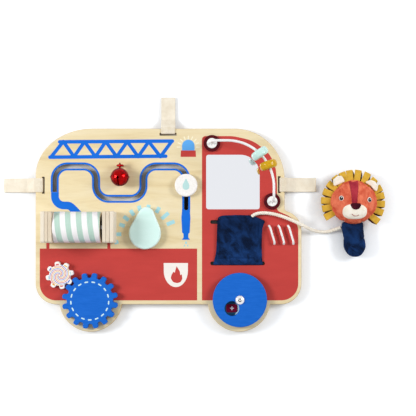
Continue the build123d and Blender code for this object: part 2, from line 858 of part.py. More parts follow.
retaining_screw = pan_screw(head_radius, shank_radius, shank_length)
pilot_radius = shank_radius + fixed_fit
gears = {
    "large_gear": (
        left_wheel, large_teeth, large_outer, large_root, large_tooth_angle,
        large_dowel, large_washer,
    ),
    "small_gear": (
        small_gear_centre, small_teeth, small_outer, small_root, small_tooth_angle,
        small_dowel, small_washer,
    ),
}
for name, (centre, teeth, outer, root, first_tooth, bore, washer) in gears.items():
    with BuildPart() as gear:
        with BuildSketch(Plane(origin=(*centre, spinner_bottom))):
            add(gear_profile(teeth, outer, root, first_tooth))
        extrude(amount=spinner_thickness)
        fillet(gear.faces().sort_by(Axis.Z)[-1].edges(), spinner_round)
        with BuildSketch(Plane(origin=(*centre, spinner_bottom))):
            Circle(bore - running_fit + fixed_fit)
        extrude(amount=dowel_seat, mode=Mode.SUBTRACT)
    save(gear, name)
    save_copies(spinner_peg(bore - running_fit, pilot_radius), [centre], f"{name}_dowel")
    save_copies(
        ring(washer, pilot_radius, washer_bottom, washer_thickness), [centre], f"{name}_washer"
    )
    save_copies(retaining_screw, [centre], f"{name}_screw")

# thin spacers, which keep the turning pieces off the face
with BuildPart() as spacers:
    with BuildSketch(Plane.XY.offset(face_z)):
        with Locations(left_wheel):
            Circle(large_spacer)
            Circle(large_dowel, mode=Mode.SUBTRACT)
        with Locations(small_gear_centre, drop_centre):
            Circle(small_spacer)
            Circle(small_dowel, mode=Mode.SUBTRACT)
        with Locations(disc_centre):
            Circle(disc_spacer)
            Circle(bolt_radius + fixed_fit, mode=Mode.SUBTRACT)
    extrude(amount=spacer_thickness)
save(spacers, "spacers")

# ================================================================ disc with its peep hole
with BuildPart() as peep_disc:
    with BuildSketch(Plane(origin=(*disc_centre, spinner_bottom))):
        Circle(disc_radius)
        with Locations(peep_at):
            Circle(peep_radius, mode=Mode.SUBTRACT)
    extrude(amount=spinner_thickness)
    fillet(peep_disc.faces().sort_by(Axis.Z)[-1].edges(), spinner_round)
    with BuildSketch(Plane(origin=(*disc_centre, spinner_bottom))):
        Circle(bolt_radius + running_fit)
    extrude(amount=spinner_thickness, mode=Mode.SUBTRACT)
save(peep_disc, "peep_disc")

bolt_head_z = spinner_top + face_gap
bolt_end = pocket_roof - tee_nut_thickness - 1
dome_radius = (bolt_head_radius**2 + bolt_head_height**2) / (2 * bolt_head_height)
with BuildPart() as disc_bolt:
    with Locations((0, 0, bolt_head_z + bolt_head_height - dome_radius)):
        Sphere(dome_radius)
    with BuildSketch(Plane.XY.offset(bolt_head_z)):
        Circle(bolt_head_radius)
    extrude(amount=bolt_head_height, mode=Mode.INTERSECT)
    with BuildSketch(Plane.XY.offset(bolt_end)):
        Circle(bolt_radius)
    extrude(amount=bolt_head_z - bolt_end)
save_copies(disc_bolt.part, [disc_centre], "disc_bolt")
save_copies(
    ring(
        tee_nut_radius, bolt_radius + fixed_fit,
        pocket_roof - tee_nut_thickness, tee_nut_thickness,
    ),
    [disc_centre],
    "disc_tee_nut",
)

# ================================================================ turning drop
with BuildPart() as water_drop:
    with BuildSketch(Plane(origin=(*drop_centre, spinner_bottom)).rotated((0, 0, drop_lean_angle))):
        Circle(drop_radius)
        with Locations((0, drop_nose_reach)):
            Circle(drop_nose_radius)
        make_hull()
    extrude(amount=spinner_thickness)
    fillet(water_drop.faces().sort_by(Axis.Z)[-1].edges(), drop_round)
    with BuildSketch(Plane(origin=(*drop_centre, spinner_bottom))):
        Circle(small_dowel - running_fit + fixed_fit)
    extrude(amount=dowel_seat, mode=Mode.SUBTRACT)
save(water_drop, "water_drop")
save_copies(spinner_peg(small_dowel - running_fit, pilot_radius), [drop_centre], "drop_dowel")
save_copies(
    ring(small_washer, pilot_radius, washer_bottom, washer_thickness),
    [drop_centre],
    "drop_washer",
)
save_copies(retaining_screw, [drop_centre], "drop_screw")

# ================================================================ elastic cords
elastic_z = face_z + elastic_height
elastic_end = pocket_roof - knot_height - face_gap
with BuildPart() as elastic_cords:
    for x in elastics_x:
        elastic_points = [
            (x, elastic_top_y, elastic_end),
            (x, elastic_top_y, elastic_z),
            (x + elastic_lean, elastic_bottom_y, elastic_z),
            (x + elastic_lean, elastic_bottom_y, elastic_end),
        ]
        add(bent_wire(elastic_points, elastic_bend, elastic_radius))
save(elastic_cords, "elastic_cords")
save_copies(
    ring(
        knot_radius, elastic_radius + fixed_fit, pocket_roof - knot_height, knot_height,
        knot_round,
    ),
    elastic_ends,
    "elastic_knots",
)

# ================================================================ pocket
pocket_back = face_z + face_gap
pocket_middle = (pocket_left + pocket_right) / 2
tab_bottom = pocket_roof - tab_grip
tabs_at = [
    (pocket_left + tab_inset, cord_notch[0] - tab_inset, pocket_slot_top_y),
    (cord_notch[1] + tab_inset, right_tab_end, pocket_slot_top_y),
    (pocket_left + tab_inset, pocket_right - tab_inset, pocket_slot_bottom_y),
]
with BuildPart() as pocket:
    with BuildSketch(Plane(origin=(0, pocket_bottom, 0), x_dir=(1, 0, 0), z_dir=(0, -1, 0))):
        with Locations((pocket_middle, pocket_back + pocket_depth / 2)):
            RectangleRounded(pocket_right - pocket_left, pocket_depth, pocket_round)
    extrude(amount=-(pocket_top - pocket_bottom))
    fillet(pocket.faces().sort_by(Axis.Y)[0].edges(), pocket_round - 0.1)
    inside = pocket_bottom + pocket_wall
    with BuildSketch(Plane(origin=(0, inside, 0), x_dir=(1, 0, 0), z_dir=(0, -1, 0))):
        with Locations((pocket_middle, pocket_back + pocket_depth / 2)):
            RectangleRounded(
                pocket_right - pocket_left - 2 * pocket_wall,
                pocket_depth - 2 * pocket_wall,
                pocket_round - pocket_wall,
            )
    extrude(amount=-(pocket_top - inside), mode=Mode.SUBTRACT)
    with BuildSketch(Plane.XY.offset(pocket_back)):
        with Locations((sum(cord_notch) / 2, (cord_notch_bottom + pocket_top) / 2)):
            Rectangle(cord_notch[1] - cord_notch[0], pocket_top - cord_notch_bottom)
    extrude(amount=pocket_wall, mode=Mode.SUBTRACT)
    # hems that go down through the slots
    with BuildSketch(Plane.XY.offset(tab_bottom)):
        for left, right, y in tabs_at:
            with Locations(((left + right) / 2, y)):
                Rectangle(right - left, tab_thickness)
    extrude(amount=pocket_back + pocket_wall - tab_bottom)
save(pocket, "pocket")

# wooden bars stapled across the hems behind the face
bars_at = [
    (pocket_slot_left + bar_end_gap, cord_notch[0], pocket_slot_top_y),
    (cord_notch[1], pocket_slot_right - bar_end_gap, pocket_slot_top_y),
    (pocket_slot_left + bar_end_gap, pocket_slot_right - bar_end_gap, pocket_slot_bottom_y),
]
with BuildPart() as pocket_bars:
    with BuildSketch(Plane.XY.offset(tab_bottom - bar_thickness)):
        for left, right, y in bars_at:
            with Locations(((left + right) / 2, y)):
                Rectangle(right - left, bar_width)
    extrude(amount=bar_thickness)
save(pocket_bars, "pocket_bars")

# ================================================================ cord to the lion
cord_bends = []
for before, corner, after in zip(cord_route, cord_route[1:], cord_route[2:]):
    run_in, run_out = Vector(corner) - Vector(before), Vector(after) - Vector(corner)
    half_turn = radians(run_in.get_angle(run_out)) / 2
    cord_bends.append(0.45 * min(run_in.length, run_out.length) / tan(half_turn))
with BuildPart() as cord:
    add(bent_wire(cord_route, cord_bends, cord_radius))
save(cord, "cord")
print("cord's bend radii in mm:", [round(bend, 1) for bend in cord_bends])

cord_knot = ring(
    cord_knot_radius, cord_radius + fixed_fit, pocket_roof - cord_knot_height, cord_knot_height,
    knot_round,
)
save_copies(cord_knot, [cord_route[0][:2]], "cord_knot")

# ================================================================ lion
head_middle = Vector(*lion_centre, lion_lift + head_half_thickness)


def ellipsoid(radius, half_height):
    """A flattened ball about the Z axis."""
    with BuildPart() as ball:
        Sphere(radius)
        scale(by=(1, 1, half_height / radius))
    return ball.part


def head_grown(amount):
    """The head's shape, grown by the same amount all over."""
    return ellipsoid(head_width_radius + amount, head_half_thickness + amount)


save_copies(ellipsoid(head_width_radius, head_half_thickness), [head_middle], "lion_head")

mane_pitch = (mane_end_angle - mane_start_angle) / mane_tabs
with BuildSketch() as mane_tab:
    with Locations((tab_root_at, 0)):
        Circle(tab_root_radius)
    with Locations((tab_tip_at, 0)):
        Circle(tab_tip_radius)
    make_hull()
with BuildPart() as lion_mane:
    with BuildSketch(Plane(origin=head_middle - Vector(0, 0, mane_thickness / 2))):
        with BuildLine():
            inner = CenterArc((0, 0), mane_inner, mane_start_angle, mane_end_angle - mane_start_angle)
            outer = CenterArc((0, 0), mane_band, mane_start_angle, mane_end_angle - mane_start_angle)
            Line(inner @ 0, outer @ 0)
            Line(inner @ 1, outer @ 1)
        make_face()
        for i in range(mane_tabs):
            with Locations(Location((0, 0, 0), (0, 0, mane_start_angle + (i + 0.5) * mane_pitch))):
                add(mane_tab.sketch)
        Circle(mane_inner, mode=Mode.SUBTRACT)
    extrude(amount=mane_thickness)
save(lion_mane, "lion_mane")

ear_bottom = head_middle + Vector(0, 0, mane_thickness / 2 + ear_lift)
with BuildPart() as lion_ears:
    with BuildSketch(Plane(origin=ear_bottom)):
        for angle in ear_angles:
            with Locations(Vector(ear_reach, 0).rotate(Axis.Z, angle)):
                Circle(ear_radius)
        Circle(ear_hollow, mode=Mode.SUBTRACT)
    extrude(amount=ear_thickness)
    fillet(lion_ears.faces().sort_by(Axis.Z)[-1].edges(), ear_round)
save(lion_ears, "lion_ears")

with BuildPart() as lion_muzzle:
    with BuildSketch(Plane(origin=head_middle)):
        with Locations((0, -muzzle_drop)):
            Ellipse(muzzle_half_width, muzzle_half_height)
    extrude(amount=2 * head_half_thickness)
    with Locations(head_middle):
        add(head_grown(muzzle_thickness), mode=Mode.INTERSECT)
        add(head_grown(running_fit), mode=Mode.SUBTRACT)
save(lion_muzzle, "lion_muzzle")

with BuildPart() as lion_handle:
    with BuildSketch(Plane.XY.offset(lion_lift)):
        with Locations(handle_neck):
            with GridLocations(handle_neck_width - 2 * handle_neck_radius, 0, 2, 1):
                Circle(handle_neck_radius)
        with Locations(handle_end):
            Circle(handle_end_radius)
        make_hull()
    extrude(amount=handle_thickness)
    ends = lion_handle.faces().filter_by(Axis.Z)
    fillet(ends.edges(), handle_round)
    with Locations(head_middle):
        add(head_grown(running_fit), mode=Mode.SUBTRACT)
save(lion_handle, "lion_handle")
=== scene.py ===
from math import atan2, ceil, cos, degrees, pi, radians, sin, tan

import bmesh
import bpy
import numpy as np
from mathutils import Matrix, Vector, noise
from mathutils.bvhtree import BVHTree


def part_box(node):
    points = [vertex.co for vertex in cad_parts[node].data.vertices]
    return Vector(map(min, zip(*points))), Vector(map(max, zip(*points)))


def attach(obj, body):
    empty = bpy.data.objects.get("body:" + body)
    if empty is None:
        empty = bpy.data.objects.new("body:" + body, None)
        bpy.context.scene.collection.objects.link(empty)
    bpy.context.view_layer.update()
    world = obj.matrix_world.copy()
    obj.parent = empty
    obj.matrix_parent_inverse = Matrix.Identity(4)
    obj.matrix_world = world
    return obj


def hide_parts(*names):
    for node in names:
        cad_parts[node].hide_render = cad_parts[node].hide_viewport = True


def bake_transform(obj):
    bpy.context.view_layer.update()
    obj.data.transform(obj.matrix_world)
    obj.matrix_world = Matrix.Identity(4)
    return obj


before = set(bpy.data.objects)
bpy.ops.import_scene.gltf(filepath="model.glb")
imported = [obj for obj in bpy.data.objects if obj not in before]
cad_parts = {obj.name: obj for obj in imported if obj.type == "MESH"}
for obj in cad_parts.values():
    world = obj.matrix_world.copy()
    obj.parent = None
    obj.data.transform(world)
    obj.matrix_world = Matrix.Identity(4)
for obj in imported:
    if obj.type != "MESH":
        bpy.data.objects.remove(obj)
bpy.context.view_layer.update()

# ---- Where it is seen from
# The board lies on a table and is looked at from straight above, from about as far as a
# standing person's eye.
eye_x, eye_y, eye_above_face = 0.063, -0.0089, 1.4
field_on_face = 0.5899
field_shift = (-0.012, 0.0697)
sensor = 36.0
face_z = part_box("front_board")[1].z

camera_data = bpy.data.cameras.new("camera")
camera_data.sensor_width = sensor
camera_data.lens = sensor * eye_above_face / field_on_face
camera_data.shift_x, camera_data.shift_y = field_shift
camera_data.clip_start, camera_data.clip_end = 0.05, 20
camera = bpy.data.objects.new("camera", camera_data)
camera.location = (eye_x, eye_y, face_z + eye_above_face)
bpy.context.scene.collection.objects.link(camera)
bpy.context.scene.camera = camera

# ---- Cord to the plush
# A limp round cord of braided cotton, knotted behind the pocket's upper slot. It comes out
# of the pocket's mouth, goes over the edge of the board and ends in the plush's neck.
cord_radius = 0.0026
cord_route = [
    (0.1140, 0.0124, 0.0044), (0.1140, 0.0124, 0.0152), (0.1160, 0.0170, 0.0192),
    (0.1204, 0.0228, 0.0174), (0.1306, 0.0254, 0.0154), (0.1460, 0.0245, 0.0151),
    (0.1612, 0.0203, 0.0152), (0.1763, 0.0142, 0.0162), (0.1895, 0.0078, 0.0174),
    (0.2006, 0.0022, 0.0104), (0.2126, -0.0015, 0.0046), (0.2250, -0.0019, 0.0032),
    (0.2356, 0.0012, 0.0054), (0.2446, 0.0046, 0.0108),
]


def show(name, mesh, smooth=True):
    """Put a mesh in the scene as an object of its own."""
    piece = bpy.data.objects.new(name, mesh)
    bpy.context.scene.collection.objects.link(piece)
    mesh.polygons.foreach_set("use_smooth", [smooth] * len(mesh.polygons))
    return piece


def settled(name, mesh, closed=True):
    """The data of a mesh that is finished, with the faces of a closed one turned outwards."""
    if closed:
        bmesh.ops.recalc_face_normals(mesh, faces=mesh.faces)
    data = bpy.data.meshes.new(name)
    mesh.to_mesh(data)
    mesh.free()
    return data


def curve_mesh(routes, kind, spline_settings, **curve_settings):
    """The mesh of a curve with one spline along each route of points."""
    data = bpy.data.curves.new("curve", "CURVE")
    for name, value in curve_settings.items():
        setattr(data, name, value)
    for route in routes:
        spline = data.splines.new(kind)
        spline.points.add(len(route) - 1)
        for point, place in zip(spline.points, route):
            point.co = (*place, 1)
        for name, value in spline_settings.items():
            setattr(spline, name, value)
    holder = bpy.data.objects.new("curve", data)
    bpy.context.scene.collection.objects.link(holder)
    bpy.context.view_layer.update()
    mesh = bpy.data.meshes.new_from_object(holder)
    bpy.data.objects.remove(holder)
    return mesh


def line_along(route):
    """Points close together along the smooth line that a limp cord takes by its route."""
    mesh = curve_mesh([route], "NURBS", {"order_u": 3, "use_endpoint_u": True},
                      dimensions="3D", resolution_u=24)
    return [vertex.co.copy() for vertex in mesh.vertices]


def evenly(points, step):
    """The same line with its points an even step apart."""
    lengths = [0.0]
    for here, there in zip(points, points[1:]):
        lengths.append(lengths[-1] + (there - here).length)
    count = max(2, round(lengths[-1] / step)) + 1
    wanted = np.linspace(0, lengths[-1], count)
    columns = [np.interp(wanted, lengths, [p[axis] for p in points]) for axis in range(3)]
    return [Vector(place) for place in zip(*columns)]


def skin(mesh, rings, loop=False):
    """Faces between each ring of points and the next, with a face on each end unless the
    rings make a loop. Returns the faces by ring."""
    rows = []
    for here, there in zip(rings, rings[1:] + rings[:1] if loop else rings[1:]):
        corners = zip(here, here[1:] + here[:1], there[1:] + there[:1], there)
        rows.append([mesh.faces.new(face) for face in corners])
    if not loop:
        mesh.faces.new(rings[0][::-1])
        mesh.faces.new(rings[-1])
    return rows


def tube(name, points, radius_at, sides=24):
    """A closed round tube along a line, not twisted. radius_at(distance, angle) gives its
    surface."""
    rings = []
    distance = 0.0
    across = None
    mesh = bmesh.new()
    for i, point in enumerate(points):
        before = points[max(i - 1, 0)]
        distance += (point - before).length
        along = (points[min(i + 1, len(points) - 1)] - before).normalized()
        if across is None:
            across = along.cross(Vector((0, 0, 1)))
            if across.length < 1e-3:
                across = along.cross(Vector((1, 0, 0)))
        across = (across - along * across.dot(along)).normalized()
        over = along.cross(across)
        ring = []
        for k in range(sides):
            angle = 2 * pi * k / sides
            reach = radius_at(distance, angle)
            ring.append(mesh.verts.new(point + (across * cos(angle) + over * sin(angle)) * reach))
        rings.append(ring)
    skin(mesh, rings)
    return show(name, settled(name, mesh))


def braid(radius, strands, lay_length, depth):
    """The surface of a round braid: strands that cross over and under each other."""
    def reach(distance, angle):
        turn = 2 * pi * distance / lay_length
        left = cos(strands / 2 * (angle + turn))
        right = cos(strands / 2 * (angle - turn))
        over = cos(strands / 2 * angle) * cos(strands / 2 * turn)
        return radius - depth + depth * max(left * (1 + over) / 2, right * (1 - over) / 2)
    return reach


class Tree:
    """A tree of shader nodes under construction, with short words for its nodes."""

    def __init__(self, tree):
        self.nodes = tree.nodes
        self.links = tree.links

    def feed(self, socket, source):
        """Give a socket a value, a colour or a link."""
        if isinstance(source, (int, float)):
            socket.default_value = source
        elif isinstance(source, tuple):
            socket.default_value = (*source, 1)
        else:
            self.links.new(source, socket)

    def node(self, kind, values=(), **links):
        """A new node, with constants or settings by name, and links to its sockets."""
        made = self.nodes.new("ShaderNode" + kind)
        for name, value in dict(values).items():
            if name in made.inputs:
                made.inputs[name].default_value = value
            else:
                setattr(made, name, value)
        for name, source in links.items():
            self.links.new(source, made.inputs[name.replace("_", " ")])
        return made

    def reckon(self, how, first, second=0.0):
        """Arithmetic on two values."""
        made = self.node("Math", {"operation": how})
        for socket, source in zip(made.inputs, (first, second)):
            self.feed(socket, source)
        return made.outputs[0]

    def seen_directly(self):
        """1 for the eye, also in a mirror or through glass, and 0 for what it lights."""
        rays = self.node("LightPath").outputs
        bent = self.reckon("MAXIMUM", rays["Is Glossy Ray"], rays["Is Transmission Ray"])
        return self.reckon("MAXIMUM", rays["Is Camera Ray"], bent)


class Finish(Tree):
    """A procedural material under construction."""

    def __init__(self, name, **sockets):
        self.material = bpy.data.materials.new(name)
        self.material.use_nodes = True
        super().__init__(self.material.node_tree)
        self.shader = self.nodes["Principled BSDF"]
        self.place = self.nodes.new("ShaderNodeTexCoord").outputs["Object"]
        self.dress(**sockets)

    def axes(self, vector=None):
        """The X, Y and Z of a vector or, without one, of the way that the surface faces."""
        vector = vector or self.node("NewGeometry").outputs["Normal"]
        return self.node("SeparateXYZ", Vector=vector).outputs

    def noise(self, size, stretch=(1, 1, 1), detail=4, distortion=0.0, lean=0):
        """Cloudy noise whose features are about one size, in metres, and stretched, the
        stretch leaning round Z by an angle in degrees."""
        values = {
            "vector_type": "TEXTURE", "Scale": tuple(size * k for k in stretch),
            "Rotation": (0, 0, radians(lean)),
        }
        mapping = self.node("Mapping", values, Vector=self.place)
        values = {"Scale": 1.0, "Detail": detail, "Roughness": 0.6, "Distortion": distortion}
        return self.node("TexNoise", values, Vector=mapping.outputs[0]).outputs["Fac"]

    def wave(self, pitch, direction, distortion=0.0, detail=0.0):
        """Stripes with a pitch in metres along the X, Y or Z direction."""
        values = {
            "bands_direction": direction, "Scale": 2 * pi / 20 / pitch,
            "Distortion": distortion, "Detail": detail,
        }
        return self.node("TexWave", values, Vector=self.place).outputs["Fac"]

    def ramp(self, source, *stops):
        """Turn a value into a colour or a grey, from (position, colour or grey) stops."""
        made = self.node("ValToRGB", Fac=source)
        ramp = made.color_ramp
        while len(ramp.elements) < len(stops):
            ramp.elements.new(0.5)
        for element, (position, colour) in zip(ramp.elements, stops):
            element.position = position
            element.color = (*(colour if isinstance(colour, tuple) else (colour,) * 3), 1)
        return made.outputs["Color"]

    def blend(self, share, first, second, how="MIX"):
        """Mix two colours, by a value or by a fixed share."""
        made = self.node("Mix", {"data_type": "RGBA", "blend_type": how})
        for socket, source in ((0, share), (6, first), (7, second)):
            self.feed(made.inputs[socket], source)
        return made.outputs[2]

    def height(self, source, depth, strength, after=None):
        """Raise the surface by a value, to a depth in metres."""
        made = self.node("Bump", {"Distance": depth, "Strength": strength}, Height=source)
        if after is not None:
            self.links.new(after, made.inputs["Normal"])
        return made.outputs["Normal"]

    def dress(self, **sources):
        """Give the shader's sockets values, colours or links."""
        for socket, source in sources.items():
            self.feed(self.shader.inputs[socket.replace("_", " ")], source)
        return self.material


def tint(red, green, blue):
    """A colour as it is seen on a screen, from 0 to 255, in the renderer's own terms."""
    def straight(value):
        value /= 255
        return value / 12.92 if value <= 0.04045 else ((value + 0.055) / 1.055) ** 2.4
    return tuple(straight(value) for value in (red, green, blue))


def paint_with(material, *objects):
    """Give the pieces one material."""
    for piece in objects:
        piece.data.materials.clear()
        piece.data.materials.append(material)


def paint_nodes(material, *names):
    """Give pieces of the frame one material."""
    paint_with(material, *(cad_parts[name] for name in names))


def cotton(name, light, dark, fibre=0.0006):
    """Undyed cotton: soft and matt, with the dips between its threads painted a little
    darker, as painted shade.
    """
    finish = Finish(name, Roughness=0.95, Sheen_Weight=0.25, Sheen_Roughness=0.5)
    patches = finish.noise(0.006, detail=3)
    fibres = finish.noise(fibre, detail=5)
    colour = finish.ramp(patches, (0.3, dark), (0.7, light))
    # painted shade: the fibres make the dips between threads darker
    colour = finish.blend(0.35, colour, finish.ramp(fibres, (0.35, dark), (0.65, light)))
    return finish.dress(Base_Color=colour, Normal=finish.height(fibres, 0.0002, 0.6))


cord_braid = cotton("braided_cotton", tint(255, 251, 240), tint(243, 232, 212))
cord_line = evenly(line_along(cord_route), 0.0004)
cord_surface = braid(cord_radius * 1.08, strands=8, lay_length=0.012, depth=0.0008)
cord = tube("lion_cord", cord_line, cord_surface, sides=36)
paint_with(cord_braid, cord)
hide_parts("cord")
paint_nodes(cord_braid, "cord_knot")
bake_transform(cord)

# ---- Table and light
# A white table top in a bright room, under two large soft lamps, one on each side.
table_half, table_gap, table_lift = 3.0, 0.0002, 0.34
room_light, room_seen = 0.36, 1.0
lamp_size, lamp_target = 0.5, Vector((0.03, 0.0, 0.02))
table_mesh = bpy.data.meshes.new("table_top")
corners = [(x * table_half, y * table_half, 0) for x, y in ((-1, -1), (1, -1), (1, 1), (-1, 1))]
table_mesh.from_pydata(corners, [], [(0, 1, 2, 3)])
table = show("table_top", table_mesh, smooth=False)
table.location.z = -table_gap
white = Finish("white_table", Base_Color=(0.83, 0.86, 0.9), Roughness=0.9)
# The table glows for the eye so that it reads white; near the board that glow is dimmed, which is
# painted shade.
painted_shade_near_board = white.node("AmbientOcclusion", {"Distance": 0.03, "samples": 8}).outputs["AO"]
lift = white.reckon("MULTIPLY", white.reckon("POWER", painted_shade_near_board, 1.6), table_lift)
strength = white.reckon("MULTIPLY", white.seen_directly(), lift)
glow = white.node("Emission", Strength=strength)
both = white.node("AddShader")
for socket, source in zip(both.inputs, (white.shader, glow)):
    white.links.new(source.outputs[0], socket)
white.links.new(both.outputs[0], white.nodes["Material Output"].inputs["Surface"])
paint_with(white.material, table)

world = bpy.data.worlds.new("room")
bpy.context.scene.world = world
world.use_nodes = True
room = Tree(world.node_tree)
level = room.node("MapRange", {"To Min": room_light, "To Max": room_seen},
                  Value=room.seen_directly())
background = room.nodes["Background"]
background.inputs["Color"].default_value = (1, 1, 1, 1)
room.links.new(level.outputs["Result"], background.inputs["Strength"])
for name, place, power in (("left_lamp", (-1.15, 0.2, 0.95), 15.0),
                           ("right_lamp", (1.25, 0.45, 0.95), 12.5)):
    light = bpy.data.lights.new(name, "AREA")
    light.shape = "SQUARE"
    light.size = lamp_size
    light.energy = power
    lamp = bpy.data.objects.new(name, light)
    lamp.location = place
    lamp.rotation_euler = (lamp_target - lamp.location).to_track_quat("-Z", "Y").to_euler()
    bpy.context.scene.collection.objects.link(lamp)
bpy.context.scene.view_settings.view_transform = "Standard"

# ---- Board
# Nine millimetre birch plywood, cut and rounded over, clear varnished. A thin sheet of the
# same plywood is screwed to its back and closes the slider's track.
birch_light = tint(242, 230, 199)
birch_mid = tint(234, 218, 178)
birch_dark = tint(216, 194, 146)
# the walls of the slider's slot and of the pocket's two slots get painted shade, dark grey
shaded_slot_walls = [
    (-0.170, 0.032, 0.026, 0.100), (0.055, 0.140, 0.008, 0.017), (0.055, 0.140, -0.051, -0.042),
]


def between(finish, value, low, high):
    """1 where a value is between two others, and 0 elsewhere."""
    above = finish.reckon("GREATER_THAN", value, low)
    return finish.reckon("MULTIPLY", above, finish.reckon("LESS_THAN", value, high))


def plywood(name, ply):
    """Birch plywood: long faint grain on its faces, and plies along its edges."""
    finish = Finish(name, Roughness=0.5, Coat_Weight=0.08, Coat_Roughness=0.35,
                    Specular_IOR_Level=0.3)
    flame = finish.noise(0.022, stretch=(6, 1, 1), detail=6, distortion=1.2)
    pores = finish.noise(0.0008, stretch=(20, 1, 4), detail=3)
    colour = finish.ramp(flame, (0.3, birch_dark), (0.48, birch_mid), (0.66, birch_light))
    colour = finish.blend(0.35, colour, birch_mid)
    fleck = finish.ramp(pores, (0.36, birch_dark), (0.5, birch_light))
    colour = finish.blend(0.16, colour, fleck, "MULTIPLY")
    plies = finish.wave(2 * ply, "Z", distortion=0.4, detail=1)
    edge = finish.ramp(plies, (0.35, tint(186, 150, 98)), (0.6, tint(228, 206, 160)))
    flat = finish.reckon("ABSOLUTE", finish.axes()["Z"])
    share = finish.ramp(flat, (0.55, 0), (0.9, 1))
    where = finish.axes(finish.place)
    # the slot walls inside these boxes are painted dark grey, as painted shade
    for left, right, low, high in shaded_slot_walls:
        inside = finish.reckon("MULTIPLY", between(finish, where["X"], left, right),
                               between(finish, where["Y"], low, high))
        edge = finish.blend(inside, edge, tint(84, 82, 80))
    colour = finish.blend(share, edge, colour)
    return finish.dress(Base_Color=colour, Normal=finish.height(pores, 0.00006, 0.5))


paint_nodes(plywood("birch_plywood", ply=0.0015), "front_board")
paint_nodes(plywood("thin_plywood", ply=0.001), "rear_cover")

# ---- Screws
# Zinc-plated steel: countersunk ones hold the rear cover, and pan-headed ones the washers
# that keep the turning pieces in the face.


def hard(name, rough, relief, size, stretch=(1, 1, 1), detail=3, distortion=0.0, colours=(),
         stops=(0.3, 0.7), **sockets):
    """A hard finish. One noise varies its roughness, its relief, which is a depth and a
    strength, and its colour, where two are given."""
    finish = Finish(name, **sockets)
    clouds = finish.noise(size, stretch, detail, distortion)
    if colours:
        finish.dress(Base_Color=finish.ramp(clouds, *zip(stops, colours)))
    return finish.dress(Roughness=finish.ramp(clouds, *zip((0.3, 0.7), rough)),
                        Normal=finish.height(clouds, *relief))


zinc = hard("zinc_plated_steel", (0.25, 0.45), (0.00002, 0.4), 0.0008, (1, 6, 1), 4,
            Base_Color=(0.62, 0.62, 0.64), Metallic=1.0)
paint_nodes(
    zinc, "cover_screws", "bracket_screws", "slider_screw", "large_gear_screw",
    "small_gear_screw", "drop_screw", "wire_nuts", "disc_tee_nut", "roller_axle", "bell_staple",
    "bell_ball",
)

# ---- Prints on the face
# Screen-printed water-based inks, laid on the varnish one colour at a time. Each print is
# a film a few hundredths of a millimetre thick.
ink_thickness = 0.00005
millimetre = 0.001


def arc(centre, radius, start, end, steps):
    """Points along an arc, in millimetres and degrees."""
    angles = [radians(start + (end - start) * i / steps) for i in range(steps + 1)]
    return [(centre[0] + radius * cos(a), centre[1] + radius * sin(a)) for a in angles]


def rounded(corners, radii):
    """A closed or open line through the corners, each rounded to its own radius."""
    line = []
    for i, (corner, radius) in enumerate(zip(corners, radii)):
        here = Vector(corner)
        if radius == 0:
            line.append(tuple(here))
            continue
        back = (Vector(corners[i - 1]) - here).normalized()
        on = (Vector(corners[(i + 1) % len(corners)]) - here).normalized()
        half_turn = back.angle(on) / 2
        middle = here + (back + on).normalized() * (radius / sin(half_turn))
        first = here + back * (radius / tan(half_turn))
        last = here + on * (radius / tan(half_turn))
        start = atan2(first.y - middle.y, first.x - middle.x)
        sweep = atan2(last.y - middle.y, last.x - middle.x) - start
        sweep = (sweep + pi) % (2 * pi) - pi
        steps = max(4, ceil(abs(degrees(sweep)) / 6))
        for k in range(steps + 1):
            angle = start + sweep * k / steps
            line.append((middle.x + radius * cos(angle), middle.y + radius * sin(angle)))
    return line


def stroke(line, width, round_ends=True):
    """The outline of a stroke of one width along a line."""
    left, right = [], []
    for i, point in enumerate(line):
        here = Vector(point)
        ahead = Vector(line[min(i + 1, len(line) - 1)]) - Vector(line[max(i - 1, 0)])
        ahead.normalize()
        side = Vector((-ahead.y, ahead.x)) * width / 2
        left.append(tuple(here + side))
        right.append(tuple(here - side))
    ends = []
    for point, neighbour in ((line[-1], line[-2]), (line[0], line[1])):
        out = degrees(atan2(point[1] - neighbour[1], point[0] - neighbour[0]))
        ends.append(arc(point, width / 2, out + 90, out - 90, 10)[1:-1] if round_ends else [])
    return left + ends[0] + right[::-1] + ends[1]


def ink(name, material, *outlines, bottom=face_z, thickness=ink_thickness, body="board"):
    """A film filled between closed outlines, given in millimetres. An outline inside
    another one is left open."""
    flat = [[(x * millimetre, y * millimetre, 0) for x, y in outline] for outline in outlines]
    mesh = curve_mesh(flat, "POLY", {"use_cyclic_u": True}, dimensions="2D", fill_mode="BOTH",
                      extrude=thickness / 2)
    mesh.transform(Matrix.Translation((0, 0, bottom + thickness / 2)))
    mesh.name = name
    film = show(name, mesh, smooth=False)
    paint_with(material, film)
    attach(film, body)


def ink_finish(name, colour):
    """Flat ink through which the grain of the wood shows a little."""
    finish = Finish(name, Roughness=0.6, Specular_IOR_Level=0.12)
    pores = finish.noise(0.0008, stretch=(18, 1, 4), detail=3)
    clouds = finish.noise(0.02, stretch=(3, 1, 1), detail=3)
    darker = tuple(value * 0.8 for value in colour)
    lighter = tuple(min(1, value * 1.12 + 0.01) for value in colour)
    shade = finish.ramp(clouds, (0.3, darker), (0.55, colour), (0.75, lighter))
    shade = finish.blend(0.35, colour, shade)
    shade = finish.blend(0.12, shade, finish.ramp(pores, (0.38, darker), (0.52, colour)))
    return finish.dress(Base_Color=shade, Normal=finish.height(pores, 0.00005, 0.4))


red_ink = ink_finish("red_ink", tint(197, 68, 63))
blue_ink = ink_finish("blue_ink", tint(18, 108, 218))
pale_blue_ink = ink_finish("pale_blue_ink", tint(96, 172, 240))
splash_ink = ink_finish("splash_ink", tint(168, 218, 226))
cream_ink = ink_finish("cream_ink", tint(248, 240, 212))
white_ink = ink_finish("white_ink", tint(246, 240, 234))

